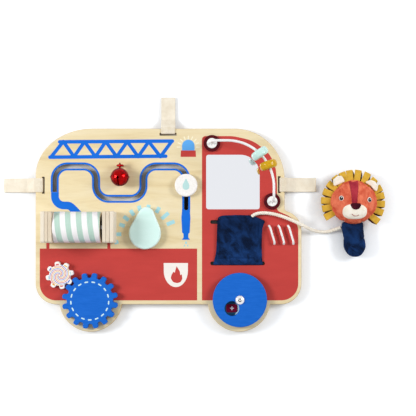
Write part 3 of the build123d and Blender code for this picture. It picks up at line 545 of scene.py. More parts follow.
# red body panel behind, and the red cab with the board's own outline a little smaller
panel = rounded([(-182.6, -25.3), (-182.6, -98.8), (40.5, -98.8), (40.5, -25.3)], [0, 23, 0, 0])
cab = rounded(
    [
        (47.4, 134.2), (92.0, 134.2), (118.8, 128.1), (141.4, 111.6), (151.8, 92.0),
        (153.7, 66.3), (153.7, 28.6), (171.5, 20.6), (183.9, 8.5), (183.9, -98.8),
        (47.4, -98.8),
    ],
    [5, 60, 50, 40, 45, 60, 6, 30, 20, 24, 0],
)


def rectangle(left, low, right, high, radii=None):
    """A rectangle, with a radius for each corner from the lower left on where asked."""
    corners = [(left, low), (right, low), (right, high), (left, high)]
    return rounded(corners, radii) if radii else corners


def slot_outline(left, right, y, width):
    """A round-ended slot along X."""
    half = width / 2
    return arc((left + half, y), half, 90, 270, 12) + arc((right - half, y), half, -90, 90, 12)


upper_slot_y, lower_slot_y = 12.4, -46.3
pocket_slots = [slot_outline(59.1, 136.6, y, 5.4) for y in (upper_slot_y, lower_slot_y)]
mirror_low, mirror_high = (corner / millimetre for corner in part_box("mirror"))
mirror_outline = rectangle(*mirror_low.xy, *mirror_high.xy, [3.5, 3.5, 27.5, 3.5])
ink("red_panel", red_ink, panel)
ink("red_cab", red_ink, cab, mirror_outline, *pocket_slots)

# extending ladder along the roof
rail_width = 5.1
ladder_top = [(-154.4, 126.0), (5.4, 127.1)]
ladder_bottom = [(-168.2, 104.3), (-4.0, 105.7)]
ladder_tops_x = [-149.2, -119.1, -89.1, -58.6, -28.1, 4.2]
ladder_bottoms_x = [-166.3, -134.1, -103.7, -73.6, -43.1, -11.5]
rung_low, rung_high = 105.0, 126.4
ink("ladder_top_rail", blue_ink, stroke(ladder_top, rail_width))
ink("ladder_bottom_rail", blue_ink, stroke(ladder_bottom, rail_width))
rungs = []
for low_x, high_x, next_x in zip(ladder_bottoms_x, ladder_tops_x, ladder_bottoms_x[1:] + [None]):
    rungs.append([(low_x, rung_low), (high_x, rung_high)])
    if next_x is not None:
        rungs.append([(high_x, rung_high), (next_x, rung_low)])
for i, rung in enumerate(rungs):
    ink(f"ladder_rung_{i + 1}", blue_ink, stroke(rung, rail_width),
        thickness=ink_thickness * (1.1 + 0.1 * (i % 2)))

# beacon on the roof, with faint rays
beacon_x, beacon_rays = 28.0, 9
beacon_dome = [(19.1, 113.8)] + arc((beacon_x, 120.2), 8.9, 180, 0, 24) + [(36.9, 113.8)]
ink("beacon_dome", pale_blue_ink, beacon_dome)
ink("beacon_base", red_ink, [(17.0, 104.7), (38.9, 104.7), (38.4, 113.8), (17.5, 113.8)])
for i in range(beacon_rays):
    angle = pi * i / (beacon_rays - 1)
    ray = [(beacon_x + reach * cos(angle), 118.6 + reach * sin(angle)) for reach in (11.6, 15.6)]
    ink(f"beacon_ray_{i + 1}", cream_ink, stroke(ray, 1.6))

# hose: a blue border round the slider's slot, which goes on as a solid pipe at each end,
# and a pale grey film on the rear cover that shows through the slot, with a black film of
# painted shade at the nozzle's end
maze_corners = [
    (-161.4, 55.1), (-161.4, 91.2), (-102.8, 91.2), (-102.8, 45.3), (-35.6, 45.3), (-35.6, 91.2),
    (25.0, 91.2), (25.0, 32.0),
]
maze_line = rounded(maze_corners, [0, 18, 18, 18, 18, 18, 18, 0])
slot_width, hose_width = 6.1, 11.4
hose_edges = stroke(maze_line, hose_width, round_ends=False)
slot_edges = stroke(maze_line, slot_width, round_ends=False)
count = len(maze_line)
ink("hose_border", blue_ink, hose_edges[:count] + slot_edges[:count][::-1],
    slot_edges[count:] + hose_edges[count:][::-1])
track_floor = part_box("rear_cover")[1].z
track_ink = ink_finish("track_ink", tint(212, 210, 208))
shade_and_reflection_black = ink_finish("shade_and_reflection_black", tint(30, 29, 28))
track_width = 7.6
ink("track_floor", track_ink, stroke(maze_line, track_width), bottom=track_floor)
# painted shade: a black film at the nozzle's end of the track
ink("track_end_shade", shade_and_reflection_black, stroke([(25.0, 56.0), (25.0, 32.0)], track_width),
    bottom=track_floor + ink_thickness)
pipe_line = rounded(
    [(-161.1, 55.0), (-161.1, 35.8), (-140.0, 35.8), (-126.0, 21.4)], [0, 13, 10, 0]
)
ink("hose_pipe", blue_ink, stroke(pipe_line, 11.0, round_ends=False))
nozzle_middle = 24.6
nozzle_profile = [
    (5.8, 25.0), (6.4, 19.5), (6.4, 17.0), (6.0, 10.0), (5.4, -2.6), (3.6, -4.2), (3.4, -9.0),
    (4.0, -10.8), (5.3, -11.6), (5.3, -12.8),
]
nozzle = [(19.3, 32.0)]
nozzle += [(nozzle_middle - half, y) for half, y in nozzle_profile]
nozzle += [(nozzle_middle + half, y) for half, y in reversed(nozzle_profile)]
nozzle += [(30.7, 32.0)] + arc(maze_corners[-1], slot_width / 2, 0, -180, 12)
ink("hose_nozzle", blue_ink, nozzle)


def droplet(x, y, radius):
    """A drop with its point upwards."""
    return arc((x, y), radius, 155, 385, 20) + [(x, y + 2.3 * radius)]


for i, (x, y, radius) in enumerate([(24.8, -17.4, 1.5), (22.6, -21.6, 1.0), (27.2, -21.4, 1.0)]):
    ink(f"hose_drop_{i + 1}", splash_ink, droplet(x, y, radius))

# legs under the roller and splashes round the turning drop
leg_half, leg_low, leg_high = 2.2, -25.3, -16.0
for i, x in enumerate((-171.1, -84.7)):
    leg = rectangle(x - leg_half, leg_low, x + leg_half, leg_high)
    ink(f"roller_leg_{i + 1}", red_ink, leg)
splash_centre = (-33.1, -3.6)
splash_at = [
    (-74.0, -16.2), (-70.4, -5.0), (-66.0, 7.8), (-60.3, 17.6), (-51.7, 25.5), (-41.2, 31.8),
    (-28.6, 33.4), (-15.2, 29.4), (-4.9, 21.1), (3.0, 11.0),
]
splash_lengths = [6, 7, 8, 9, 9, 8, 7, 9, 13, 12]
for i, (place, length) in enumerate(zip(splash_at, splash_lengths)):
    out = (Vector(place) - Vector(splash_centre)).normalized() * length / 2
    dash = [tuple(Vector(place) - out), tuple(Vector(place) + out)]
    ink(f"splash_{i + 1}", splash_ink, stroke(dash, 5.4, False))

# shield with a flame
shield = [(-7.0, -45.8), (27.6, -45.8), (27.4, -51.0)] + [
    (10.3 + 17.1 * cos(a), -56.6 + 23.3 * sin(a)) for a in [-pi * i / 40 for i in range(41)]
] + [(-6.8, -51.0)]
flame = rounded(
    [
        (11.4, -50.2), (9.8, -55.6), (8.6, -59.9), (7.0, -57.8), (4.2, -62.6), (3.0, -67.4),
        (6.4, -72.8), (12.0, -74.4), (17.0, -73.0), (19.6, -68.4), (18.8, -61.6), (16.6, -63.2),
        (16.0, -57.8),
    ],
    [0.4, 3, 0.5, 0.5, 3, 4, 4, 6, 4, 4, 0.5, 0.5, 4],
)
ink("shield", white_ink, shield, bottom=face_z + ink_thickness)
ink("flame", red_ink, flame, bottom=face_z + 2 * ink_thickness)

# ---- Mirror
# Mirrored acrylic, let into the face board and glued in its recess. The sheet is thin and
# not quite flat, so that what it reflects wavers a little.
silvered = Finish("mirrored_acrylic", Base_Color=tint(233, 235, 240), Metallic=1.0,
                  Coat_Weight=0.3, Coat_Roughness=0.03)
ripple = silvered.noise(0.03, detail=1)
smears = silvered.noise(0.006, stretch=(3, 1, 1), detail=4)
silvered.dress(
    Roughness=silvered.ramp(smears, (0.4, 0.03), (0.7, 0.10)),
    Normal=silvered.height(ripple, 0.0002, 0.25),
)
paint_nodes(silvered.material, "mirror")

# ---- Straps
# Cream cotton webbing, each a loop that is pushed through its slot and closed outside the
# board by hook-and-loop tape. A block of stitches keeps the two layers together at the rim.
webbing_width, webbing_thickness, webbing_bend = 20.0, 1.4, 1.9
webbing_ribs, webbing_rib_depth = 16, 0.11
selvedge_width, selvedge_depth = 0.5, 0.55
strap_floor, strap_layered, strap_top = 0.1, 4.1, 13.6
strap_inside, slope_start, slope_end = 0.4, 2.0, 14.0
stitch_rows, stitch_reach = (2.6, 4.4, 6.2), 8.4
# each strap's slot, its heading, and how far the board's edge and its own end are from there
strap_loops = {
    "strap_left": ((-177.7, 64.5), 180, 10.8, 57.6),
    "strap_right": ((157.0, 65.3), 0, 7.6, 53.5),
    "strap_top": ((-0.7, 136.8), 90, 8.0, 53.4),
}


def woven(name, light, dark, pitch):
    """Plain-woven cotton: threads over and under in squares, whichever way it lies. The dips
    between the threads are painted darker, as painted shade.
    """
    finish = Finish(name, Roughness=0.9, Sheen_Weight=0.15, Sheen_Roughness=0.5)
    squares = finish.reckon("MULTIPLY", finish.wave(pitch, "X"), finish.wave(pitch, "Y"))
    steps = finish.wave(pitch, "Z")
    threads = finish.reckon("MAXIMUM", squares, finish.reckon("MULTIPLY", steps, 0.5))
    fibres = finish.noise(0.0005, detail=4)
    patches = finish.noise(0.012, detail=3)
    colour = finish.ramp(patches, (0.3, dark), (0.65, light))
    # painted shade: the dips between the threads are darker
    colour = finish.blend(0.5, colour, finish.ramp(threads, (0.1, dark), (0.6, light)))
    relief = finish.height(threads, 0.0003, 0.8)
    relief = finish.height(fibres, 0.00008, 0.5, after=relief)
    return finish.dress(Base_Color=colour, Normal=relief)


def webbing(name, slot, heading, edge, reach):
    """A closed loop of ribbed webbing round the rim of the board, in millimetres."""
    corners = [
        (strap_inside, strap_floor), (reach, strap_floor), (reach, strap_layered),
        (edge + slope_end, strap_layered), (edge + slope_start, strap_top),
        (strap_inside, strap_top),
    ]
    outline = rounded(corners, [webbing_bend] * 6)
    outline = evenly([Vector((u, 0, z)) for u, z in outline + outline[:1]], 0.8)[:-1]
    columns = 4 * webbing_ribs
    turn = Matrix.Rotation(radians(heading), 4, "Z")
    mesh = bmesh.new()
    rings = []
    for i, point in enumerate(outline):
        along = (outline[(i + 1) % len(outline)] - outline[i - 1]).normalized()
        inward = Vector((-along.z, 0, along.x))
        ring = []
        for side in (0, 1):
            for k in range(columns + 1):
                share = k / columns
                rib = abs(sin(pi * webbing_ribs * share))
                near_edge = min(share, 1 - share) * webbing_width
                selvedge = selvedge_depth * max(0.0, 1 - near_edge / selvedge_width) ** 2
                sunk = webbing_rib_depth * (1 - rib) + selvedge
                depth = webbing_thickness - sunk if side else sunk
                across = (share if side == 0 else 1 - share) - 0.5
                place = point + inward * depth + Vector((0, across * webbing_width, 0))
                place = turn @ place + Vector((*slot, 0))
                ring.append(mesh.verts.new(place * millimetre))
        rings.append(ring)
    skin(mesh, rings, loop=True)
    return show(name, settled(name, mesh))


def stitches(name, material, body, lines, length, gap, thread, lift):
    """Rows of stitches: short plump threads along lines of points in millimetres."""
    mesh = bmesh.new()
    sides, rounds = 6, 5
    fine = 0.15
    for points in lines:
        line = evenly([Vector(point) for point in points], fine)
        step = 0.0
        while step + length <= len(line) * fine:
            middle = line[min(len(line) - 1, int((step + length / 2) / fine))]
            last = line[min(len(line) - 1, int((step + length) / fine))]
            along = (last - line[int(step / fine)]).normalized()
            over = (Vector((0, 0, 1)) - along * along.z).normalized()
            across = along.cross(over)
            rings = []
            for r in range(rounds):
                share = r / (rounds - 1) * 2 - 1
                swell = thread / 2 * (1 - 0.8 * share ** 4)
                centre = middle + along * (share * length / 2) + over * (lift - 0.3 * share ** 2)
                ring = []
                for k in range(sides):
                    angle = 2 * pi * k / sides
                    place = centre + (across * cos(angle) + over * sin(angle)) * swell
                    ring.append(mesh.verts.new(place * millimetre))
                rings.append(ring)
            skin(mesh, rings)
            step += length + gap
    seam = show(name, settled(name, mesh))
    paint_with(material, seam)
    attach(seam, body)


webbing_cloth = woven("cotton_webbing", tint(248, 240, 223), tint(222, 208, 182), 0.0017)
webbing_thread = cotton("cream_thread", tint(250, 245, 232), tint(222, 210, 184))
for name, (slot, heading, edge, reach) in strap_loops.items():
    loop = webbing(f"{name}_webbing", slot, heading, edge, reach)
    paint_with(webbing_cloth, loop)
    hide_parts(name)
    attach(loop, "board")
    outward = Vector((cos(radians(heading)), sin(radians(heading)), 0))
    across = Vector((-outward.y, outward.x, 0))
    middle = Vector((*slot, strap_top))
    rows = []
    for distance in stitch_rows:
        start = middle + outward * distance - across * stitch_reach
        rows.append((start, start + across * 2 * stitch_reach))
    stitches(f"{name}_stitches", webbing_thread, "board", rows, length=1.7, gap=0.9, thread=0.5,
             lift=0.02)

hooks = Finish("hook_and_loop_tape", Roughness=0.85, Sheen_Weight=0.3, Sheen_Roughness=0.4)
tufts = hooks.noise(0.0009, detail=2, distortion=0.6)
hooks.dress(
    Base_Color=hooks.ramp(tufts, (0.35, tint(196, 186, 164)), (0.65, tint(240, 233, 216))),
    Normal=hooks.height(tufts, 0.0006, 1.0),
)
paint_nodes(hooks.material, "strap_patches")

# ---- Roller
# A turned wooden cylinder on a steel axle between two wooden cheeks, with loose plates at
# each end that clack as it turns. Its mint stripe is wound round it as it is painted.
roller_axis_y, roller_axis_z, roller_radius = 0.0047, 0.03595, 0.02175
stripe_pitch, stripe_start, stripe_phase = 0.015, -0.1504, 0.235


def solid_wood(name, light, dark, stretch):
    """Fine-grained wood, sanded and varnished, its grain along the longest stretch."""
    finish = Finish(name, Roughness=0.5, Coat_Weight=0.15, Coat_Roughness=0.3)
    rings = finish.noise(0.006, stretch=stretch, detail=5, distortion=0.6)
    pores = finish.noise(0.0006, stretch=stretch, detail=3)
    middle = tuple((a + b) / 2 for a, b in zip(light, dark))
    colour = finish.ramp(rings, (0.3, dark), (0.5, middle), (0.66, light))
    colour = finish.blend(0.25, colour, finish.ramp(pores, (0.36, dark), (0.52, light)))
    return finish.dress(Base_Color=colour, Normal=finish.height(pores, 0.00006, 0.5))


cheek_wood = solid_wood("pale_lime_wood", tint(243, 235, 222), tint(224, 210, 184), (1, 8, 1))
plate_wood = solid_wood("pale_beech", tint(232, 220, 200), tint(204, 184, 154), (1, 8, 1))
for side in ("left", "right"):
    paint_nodes(cheek_wood, f"roller_bracket_{side}")
    paint_nodes(plate_wood, f"clack_{side}_outer", f"clack_{side}_inner")

stripes = Finish("striped_paint", Roughness=0.42, Coat_Weight=0.2, Coat_Roughness=0.25)
do = stripes.reckon
where = stripes.axes(stripes.place)
up = do("SUBTRACT", where["Z"], roller_axis_z)
aside = do("SUBTRACT", where["Y"], roller_axis_y)
wound = do("MULTIPLY", do("SUBTRACT", do("ARCTAN2", up, aside), pi / 2), stripe_pitch / (2 * pi))
along_roller = do("SUBTRACT", where["X"], stripe_start)
turns = do("DIVIDE", do("SUBTRACT", along_roller, wound), stripe_pitch)
wobble = do("MULTIPLY", stripes.noise(0.004, detail=2), 0.03)
share = do("FRACT", do("ADD", do("ADD", turns, wobble), stripe_phase))
mint_stripe, roller_white = tint(186, 216, 202), tint(250, 247, 248)
painted = stripes.ramp(
    share, (0.0, mint_stripe), (0.485, mint_stripe), (0.515, roller_white), (0.985, roller_white),
    (1.0, mint_stripe),
)
streaks = stripes.noise(0.002, stretch=(1, 6, 6), detail=3)
painted = stripes.blend(0.5, painted, stripes.ramp(streaks, (0.35, 0.86), (0.6, 1.0)), "MULTIPLY")
# each end face is painted black inside a wooden rim, as painted shade standing for a hollow end
from_axis = do("POWER", do("ADD", do("MULTIPLY", up, up), do("MULTIPLY", aside, aside)), 0.5)
painted_hollow_ends = stripes.ramp(do("MULTIPLY", from_axis, 1 / roller_radius),
                         (0.78, tint(14, 14, 16)), (0.82, tint(232, 216, 184)))
end_on = do("GREATER_THAN", do("ABSOLUTE", stripes.axes()["X"]), 0.8)
stripes.dress(Base_Color=stripes.blend(end_on, painted, painted_hollow_ends),
              Normal=stripes.height(streaks, 0.00008, 0.4))
paint_nodes(stripes.material, "striped_roller")

# ---- Bell
# A jingle bell of two pressed steel shells in red enamel, with a loose steel ball inside.
# It hangs from a steel staple that is enamelled with it.
enamel = Finish("red_enamel", Metallic=1.0, Coat_Weight=0.1, Coat_Roughness=0.04)
pooled = enamel.noise(0.005, detail=3)
orange_peel = enamel.noise(0.0012, detail=2)
enamel.dress(
    Base_Color=enamel.ramp(pooled, (0.3, tint(116, 0, 1)), (0.7, tint(184, 2, 4))),
    Roughness=enamel.ramp(pooled, (0.3, 0.16), (0.7, 0.28)),
    Normal=enamel.height(orange_peel, 0.00004, 0.3),
)
paint_nodes(enamel.material, "bell_upper", "bell_lower")
staple_low, staple_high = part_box("bell_staple")
staple_wire, staple_bend = 0.0015, 0.0024
crown_y = (staple_low.y + staple_high.y) / 2
bare_wire = (staple_high.y - staple_low.y) / 2
crown_z = staple_high.z - bare_wire
left_leg, right_leg = staple_low.x + bare_wire, staple_high.x - bare_wire
staple_corners = [(left_leg, staple_low.z), (left_leg, crown_z), (right_leg, crown_z),
                  (right_leg, staple_low.z)]
staple_line = [Vector((x, crown_y, z))
               for x, z in rounded(staple_corners, [0, staple_bend, staple_bend, 0])]
staple = tube("staple_wire", evenly(staple_line, 0.0004), lambda *_: staple_wire)
paint_with(enamel.material, staple)
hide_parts("bell_staple")
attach(staple, "board")
eye_ring, eye_wire = 0.0029, 0.0011
eye_line = [Vector(((left_leg + right_leg) / 2, crown_y + eye_ring * cos(a),
                    crown_z + eye_ring * sin(a))) for a in [2 * pi * k / 48 for k in range(49)]]
eye = tube("bell_eye", eye_line, lambda *_: eye_wire, sides=20)
paint_with(enamel.material, eye)
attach(eye, "bell")

# ---- Bead arch
# A bent steel wire with a white powder coat, screwed through two lacquered wooden discs.
# A white moulded cap covers each nut, and two turned beads slide on the wire.
powder_coat = hard("white_powder_coat", (0.35, 0.5), (0.00004, 0.4), 0.0006, detail=2,
                   colours=(tint(226, 226, 226), tint(248, 248, 248)), stops=(0.3, 0.6))
moulded = hard("white_moulded_cap", (0.25, 0.36), (0.00005, 0.3), 0.003,
               colours=(tint(236, 236, 234), tint(250, 250, 248)))
paint_nodes(powder_coat, "bead_wire")
paint_nodes(moulded, "wire_caps")


def lacquer(name, dark, light, stretch=(1, 1, 5), depth=0.00005, gloss=0.22, shine=0.3):
    """Thick coloured lacquer on turned wood, with the grain just telling through it."""
    return hard(
        name, (gloss, gloss + 0.1), (depth, 0.4), 0.0025, stretch, 4, 0.5, (dark, light),
        (0.32, 0.66), Coat_Weight=shine, Coat_Roughness=0.08, Specular_IOR_Level=0.1,
    )


def plus(x, y, reach, width):
    """The outline of a plus sign, in millimetres."""
    half = width / 2
    return [
        (x - reach, y - half), (x - half, y - half), (x - half, y - reach), (x + half, y - reach),
        (x + half, y - half), (x + reach, y - half), (x + reach, y + half), (x + half, y + half),
        (x + half, y + reach), (x - half, y + reach), (x - half, y + half), (x - reach, y + half),
    ]


paint_nodes(lacquer("maroon_lacquer", tint(64, 0, 10), tint(92, 2, 22), shine=0.08), "wire_bases")
paint_nodes(lacquer("mint_lacquer", tint(196, 234, 226), tint(212, 244, 236)), "bead_mint")
paint_nodes(lacquer("ochre_lacquer", tint(196, 148, 0), tint(218, 174, 6)), "bead_ochre")
# painted shade: a grey cross on each cap stands for a cross recess
cap_recess_shade = ink_finish("recess_shade_grey", tint(200, 200, 202))
cap_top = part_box("wire_caps")[1].z
cross_reach, cross_width = 3.6, 1.0
for i, centre in enumerate(((61.5, 123.8), (146.8, 41.6))):
    ink(f"cap_cross_shade_{i + 1}", cap_recess_shade, plus(*centre, cross_reach, cross_width), bottom=cap_top)

# ---- Slider
# A turned knob that is pushed along the slot. Its stem goes through to a tail washer in the
# track behind, and a small drop is printed on its painted top.
knob_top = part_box("slider_knob")[1].z
eggshell = lacquer("white_eggshell", tint(240, 236, 230), tint(252, 250, 248), gloss=0.34)
paint_nodes(eggshell, "slider_knob")
knob_drop = rounded(
    [(24.9, 74.0), (20.2, 65.0), (20.2, 57.6), (29.6, 57.6), (29.6, 65.0)],
    [0.5, 5.5, 4.45, 4.45, 5.5],
)
teal_ink = ink_finish("pale_teal_ink", tint(186, 224, 222))
ink("knob_drop", teal_ink, knob_drop, bottom=knob_top, body="slider")
dowel_wood = solid_wood("beech_dowel", tint(236, 214, 172), tint(206, 170, 118), (1, 1, 8))
paint_nodes(
    dowel_wood, "slider_stem", "slider_tail", "large_gear_dowel", "large_gear_washer",
    "small_gear_dowel", "small_gear_washer", "drop_dowel", "drop_washer",
)
paint_nodes(moulded, "spacers")

# ---- Gears
# Two meshing gears sawn from plywood and painted, each on a dowel that turns in the face.
# The large one has a ring of dashes, and the small one a swirl and a mark on each tooth.
big_gear_centre = (-110.6, -99.0)
small_gear_centre = (-153.157, -62.909)
gear_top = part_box("large_gear")[1].z
painted_blue = lacquer("blue_paint", tint(22, 100, 200), tint(30, 108, 210), (6, 1, 1),
                       depth=0.00002, gloss=0.45, shine=0.0)
painted_white = lacquer("white_paint", tint(244, 240, 236), tint(252, 250, 247), (6, 1, 1),
                        depth=0.00002, gloss=0.4, shine=0.1)
paint_nodes(painted_blue, "large_gear", "peep_disc")
paint_nodes(painted_white, "small_gear")
pale_mint_ink = ink_finish("pale_mint_ink", tint(206, 240, 244))
dash_ring, dash_count, dash_half, dash_width = 26.7, 17, 1.7, 1.9
for i in range(dash_count):
    angle = radians(-90 + 360 / dash_count * i)
    middle = Vector(big_gear_centre) + Vector((cos(angle), sin(angle))) * dash_ring
    sideways = Vector((-sin(angle), cos(angle))) * dash_half
    line = stroke([tuple(middle - sideways), tuple(middle + sideways)], dash_width)
    ink(f"gear_dash_{i + 1}", pale_mint_ink, line, bottom=gear_top, body="big_gear")

swirl_inks = [
    ink_finish("swirl_red", tint(206, 56, 60)), ink_finish("swirl_ochre", tint(224, 176, 40)),
    ink_finish("swirl_blue", tint(44, 100, 206)),
]
small_gear_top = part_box("small_gear")[1].z
swirl_arms, swirl_turn, swirl_inside, swirl_reach = 9, 240, 1.6, 12.8
for i in range(swirl_arms):
    arm = []
    for k in range(31):
        share = k / 30
        angle = radians(360 // swirl_arms * i + swirl_turn * share)
        reach = swirl_inside + swirl_reach * share ** 0.9
        arm.append((small_gear_centre[0] + reach * cos(angle),
                    small_gear_centre[1] + reach * sin(angle)))
    ink(f"swirl_arm_{i + 1}", swirl_inks[i % 3], stroke(arm, 0.75), bottom=small_gear_top,
        body="little_gear")
mark_inks = [swirl_inks[2], teal_ink, swirl_inks[1], swirl_inks[0]]
mark_ring, mark_reach, first_tooth = 15.6, 6, -33.2
for i in range(8):
    heading = first_tooth + 45 * i
    mark = arc(small_gear_centre, mark_ring, heading - mark_reach, heading + mark_reach, 6)
    ink(f"tooth_mark_{i + 1}", mark_inks[i % 4], stroke(mark, 1.5), bottom=small_gear_top,
        body="little_gear")

# ---- Turning disc
# A painted plywood disc on a domed, nickel-plated bolt. Its peep hole uncovers one of four
# small pictures that are printed on the face round the bolt.
nickel = hard("bright_nickel", (0.06, 0.16), (0.00002, 0.3), 0.001, (3, 1, 1),
              Base_Color=(0.83, 0.83, 0.84), Metallic=1.0)
paint_nodes(nickel, "disc_bolt")
bolt_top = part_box("disc_bolt")[1].z
disc_centre = Vector((100.9, -97.8))
# painted reflection: a black disc with a nickel centre on the crown of the dome stands for the dark
# spot that the dome reflects there
ink("bolt_dark_reflection", shade_and_reflection_black, arc(disc_centre, 2.7, 30, 330, 5), bottom=bolt_top - 0.0006,
    thickness=0.00065)
ink("bolt_reflection_centre", nickel, arc(disc_centre, 1.3, 0, 350, 35),
    bottom=bolt_top - 0.0002, thickness=0.0003)
dark_teal_ink = ink_finish("dark_teal_ink", tint(24, 82, 104))
maroon_ink = ink_finish("maroon_ink", tint(124, 0, 44))
second_layer, third_layer, fourth_layer = (face_z + ink_thickness * k for k in (1, 2, 3))
peep_hole, picture_radius = Vector((-11.0, -12.1)), 11.8
for i in range(4):
    place = disc_centre + Matrix.Rotation(pi / 2 * i, 2) @ peep_hole
    ink(f"picture_ground_{i + 1}", dark_teal_ink, arc(place, picture_radius, 0, 354, 59),
        bottom=second_layer)
    if i == 0:
        case = rectangle(place.x - 8.2, place.y - 5.9, place.x + 8.2, place.y + 5.9, [3.0] * 4)
        ink("picture_case", maroon_ink, case, bottom=third_layer)
        ink("picture_plus", white_ink, plus(*place, 2.6, 1.5), bottom=fourth_layer)
        # painted light: the pale crescent stands for the lit right-hand wall of the peep hole
        crescent = arc(place, 10.4, -62, 62, 20) + arc(place - Vector((6.2, 0)), 13.6, 42, -42, 20)
        ink("picture_lit_wall", pale_mint_ink, crescent, bottom=third_layer)
    elif i == 1:
        ink("picture_drop", pale_mint_ink, droplet(place.x, place.y - 2, 4.2), bottom=third_layer)
    elif i == 2:
        ink("picture_sun", swirl_inks[1], arc(place, 5.0, 0, 350, 35), bottom=third_layer)
    else:
        ink("picture_ring", white_ink, arc(place, 5.6, 0, 350, 35), arc(place, 3.4, 0, 350, 35),
            bottom=third_layer)

# ---- Turning drop
# Thick plywood, well rounded over and dipped in mint paint. Its rounded edge is painted
# paler, as painted light.
dipped = Finish("mint_paint", Coat_Weight=0.3, Coat_Roughness=0.2)
clouds = dipped.noise(0.012, stretch=(3, 1, 1), detail=3)
pores = dipped.noise(0.0009, stretch=(14, 1, 4), detail=3)
body_colour = dipped.ramp(clouds, (0.3, tint(216, 249, 241)), (0.7, tint(224, 254, 248)))
# painted light: the rounded edge, which faces away from straight up, is painted paler
rim = dipped.ramp(dipped.axes()["Z"], (0.5, 1), (0.97, 0))
dipped.dress(
    Base_Color=dipped.blend(rim, body_colour, tint(232, 252, 246)),
    Roughness=dipped.ramp(clouds, (0.3, 0.32), (0.7, 0.44)),
    Normal=dipped.height(pores, 0.00005, 0.4),
)
paint_nodes(dipped.material, "water_drop")

# ---- Elastic cords
# Three lengths of round braided elastic, knotted behind the face and pulled up in front of
# it, side by side on a slant.
elastic_radius = 0.00165
elastic_bend, elastic_bow = 3.6, 1.5
elastic_knot_z, elastic_crown_z = 4.6, 17.2
first_elastic, elastic_pitch, slant = (142.4, 7.0), 13.4, Vector((7.6, -25.6))
elastic_braid = cotton("braided_elastic", tint(255, 255, 253), tint(240, 239, 237), 0.0004)
elastic_surface = braid(elastic_radius, strands=16, lay_length=0.006, depth=0.0003)
for i in range(3):
    start = Vector((first_elastic[0] + elastic_pitch * i, first_elastic[1]))
    corners = [(0, elastic_knot_z), (0, elastic_crown_z), (slant.length, elastic_crown_z),
               (slant.length, elastic_knot_z)]
    line = []
    for along, z in rounded(corners, [0, elastic_bend, elastic_bend, 0]):
        bow = elastic_bow * sin(pi * along / slant.length)
        place = start + slant.normalized() * along + Vector((bow, 0.3 * bow))
        line.append(Vector((place.x, place.y, z)) * millimetre)
    elastic = tube(f"elastic_{i + 1}", evenly(line, 0.00035), elastic_surface, sides=32)
    paint_with(elastic_braid, elastic)
    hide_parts("elastic_cords")
    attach(elastic, "board")
paint_nodes(elastic_braid, "elastic_knots")

# ---- Pocket
# Navy velour, hemmed and turned in through two slots, where wooden bars hold it behind the
# face. Its mouth is at the top, and the cord's end pushes it up a little from inside.
front_thickness, back_thickness, tab_thickness = 1.7, 1.3, 2.0
hem_seams, hem_sink, hem_width = (17.2, -39.5), 1.4, 0.9
pucker_height, pucker_pitch, pucker_reach = 0.3, 4.6, 3.0
pocket_edges = [
    (22.2, 79.5, 116.6), (21.6, 75.0, 119.8), (20.4, 71.6, 122.6), (18.6, 69.9, 127.4),
    (16.2, 69.3, 132.6), (13.7, 68.9, 136.0), (11.0, 68.6, 136.2), (7.0, 68.4, 134.6),
    (2.1, 68.2, 133.4), (-8.0, 68.0, 132.8), (-20.0, 67.6, 132.6), (-31.0, 66.9, 132.7),
    (-38.0, 65.4, 132.9), (-44.0, 63.8, 133.4), (-47.6, 63.0, 133.6), (-48.6, 63.8, 133.0),
]
crown_heights = [
    (22.2, 9.4), (17.2, 9.0), (14.0, 9.6), (4.0, 8.8), (-10.0, 7.4), (-25.0, 6.4),
    (-36.0, 4.8), (-39.5, 3.4), (-42.0, 3.6), (-46.0, 2.0), (-48.6, 0.3),
]
# height, start, end and width of each fold, and whether it fades towards the pocket's sides
creases = [
    (1.7, (116.5, 15.0), (116.0, -6.0), 6.0, True), (1.3, (104.0, -3.0), (112.0, -22.0), 5.0, True),
    (1.2, (84.0, -17.0), (94.0, -27.0), 5.0, True), (-3.2, (72.0, 12.0), (97.0, -15.0), 2.4, True),
    (-2.0, (78.0, 14.0), (98.0, 2.0), 2.2, True), (-2.8, (127.0, 13.0), (125.6, -15.0), 2.2, False),
    (-1.6, (99.0, -26.0), (124.0, -34.0), 2.4, True),
]


def velour(name, deep, bright, pile=0.0005, sheen_cloud_size=0.009, sheen=0.35, lean=0, painted_shade_span=None):
    """Short-pile velour, soft at its edges. Its lighter and darker clouds are painted sheen
    and shade, and the dips of its pile are painted darker, as painted shade. It may also be
    painted darker from one Y to another, as painted shade."""
    finish = Finish(name, Roughness=0.9, Sheen_Weight=sheen, Sheen_Roughness=0.35,
                    Sheen_Tint=bright, Specular_IOR_Level=0.1)
    clouds = finish.noise(sheen_cloud_size, stretch=(1, 1.8, 1), detail=4, distortion=0.5, lean=lean)
    fibres = finish.noise(pile, detail=3)
    strands = finish.noise(pile * 2, stretch=(1, 4, 1), detail=2, lean=lean)
    # painted sheen and shade: lighter and darker clouds, and darker dips in the pile
    colour = finish.ramp(clouds, (0.38, deep), (0.62, bright))
    colour = finish.blend(0.3, colour, finish.ramp(fibres, (0.38, deep), (0.62, bright)))
    # painted shade: darker from one Y to another
    if painted_shade_span is not None:
        values = {"From Min": painted_shade_span[0], "From Max": painted_shade_span[1], "To Max": 0.5}
        where = finish.axes(finish.place)["Y"]
        share = finish.node("MapRange", values, Value=where).outputs["Result"]
        colour = finish.blend(share, colour, deep)
    relief = finish.height(fibres, 0.0003, 0.7)
    relief = finish.height(strands, 0.0002, 0.5, after=relief)
    return finish.dress(Base_Color=colour, Normal=relief)


def apply_modifiers(piece):
    """Leave a piece as its modifiers show it, and smooth."""
    shown = bpy.context.evaluated_depsgraph_get()
    piece.data = bpy.data.meshes.new_from_object(piece.evaluated_get(shown))
    piece.modifiers.clear()
    piece.data.polygons.foreach_set("use_smooth", [True] * len(piece.data.polygons))


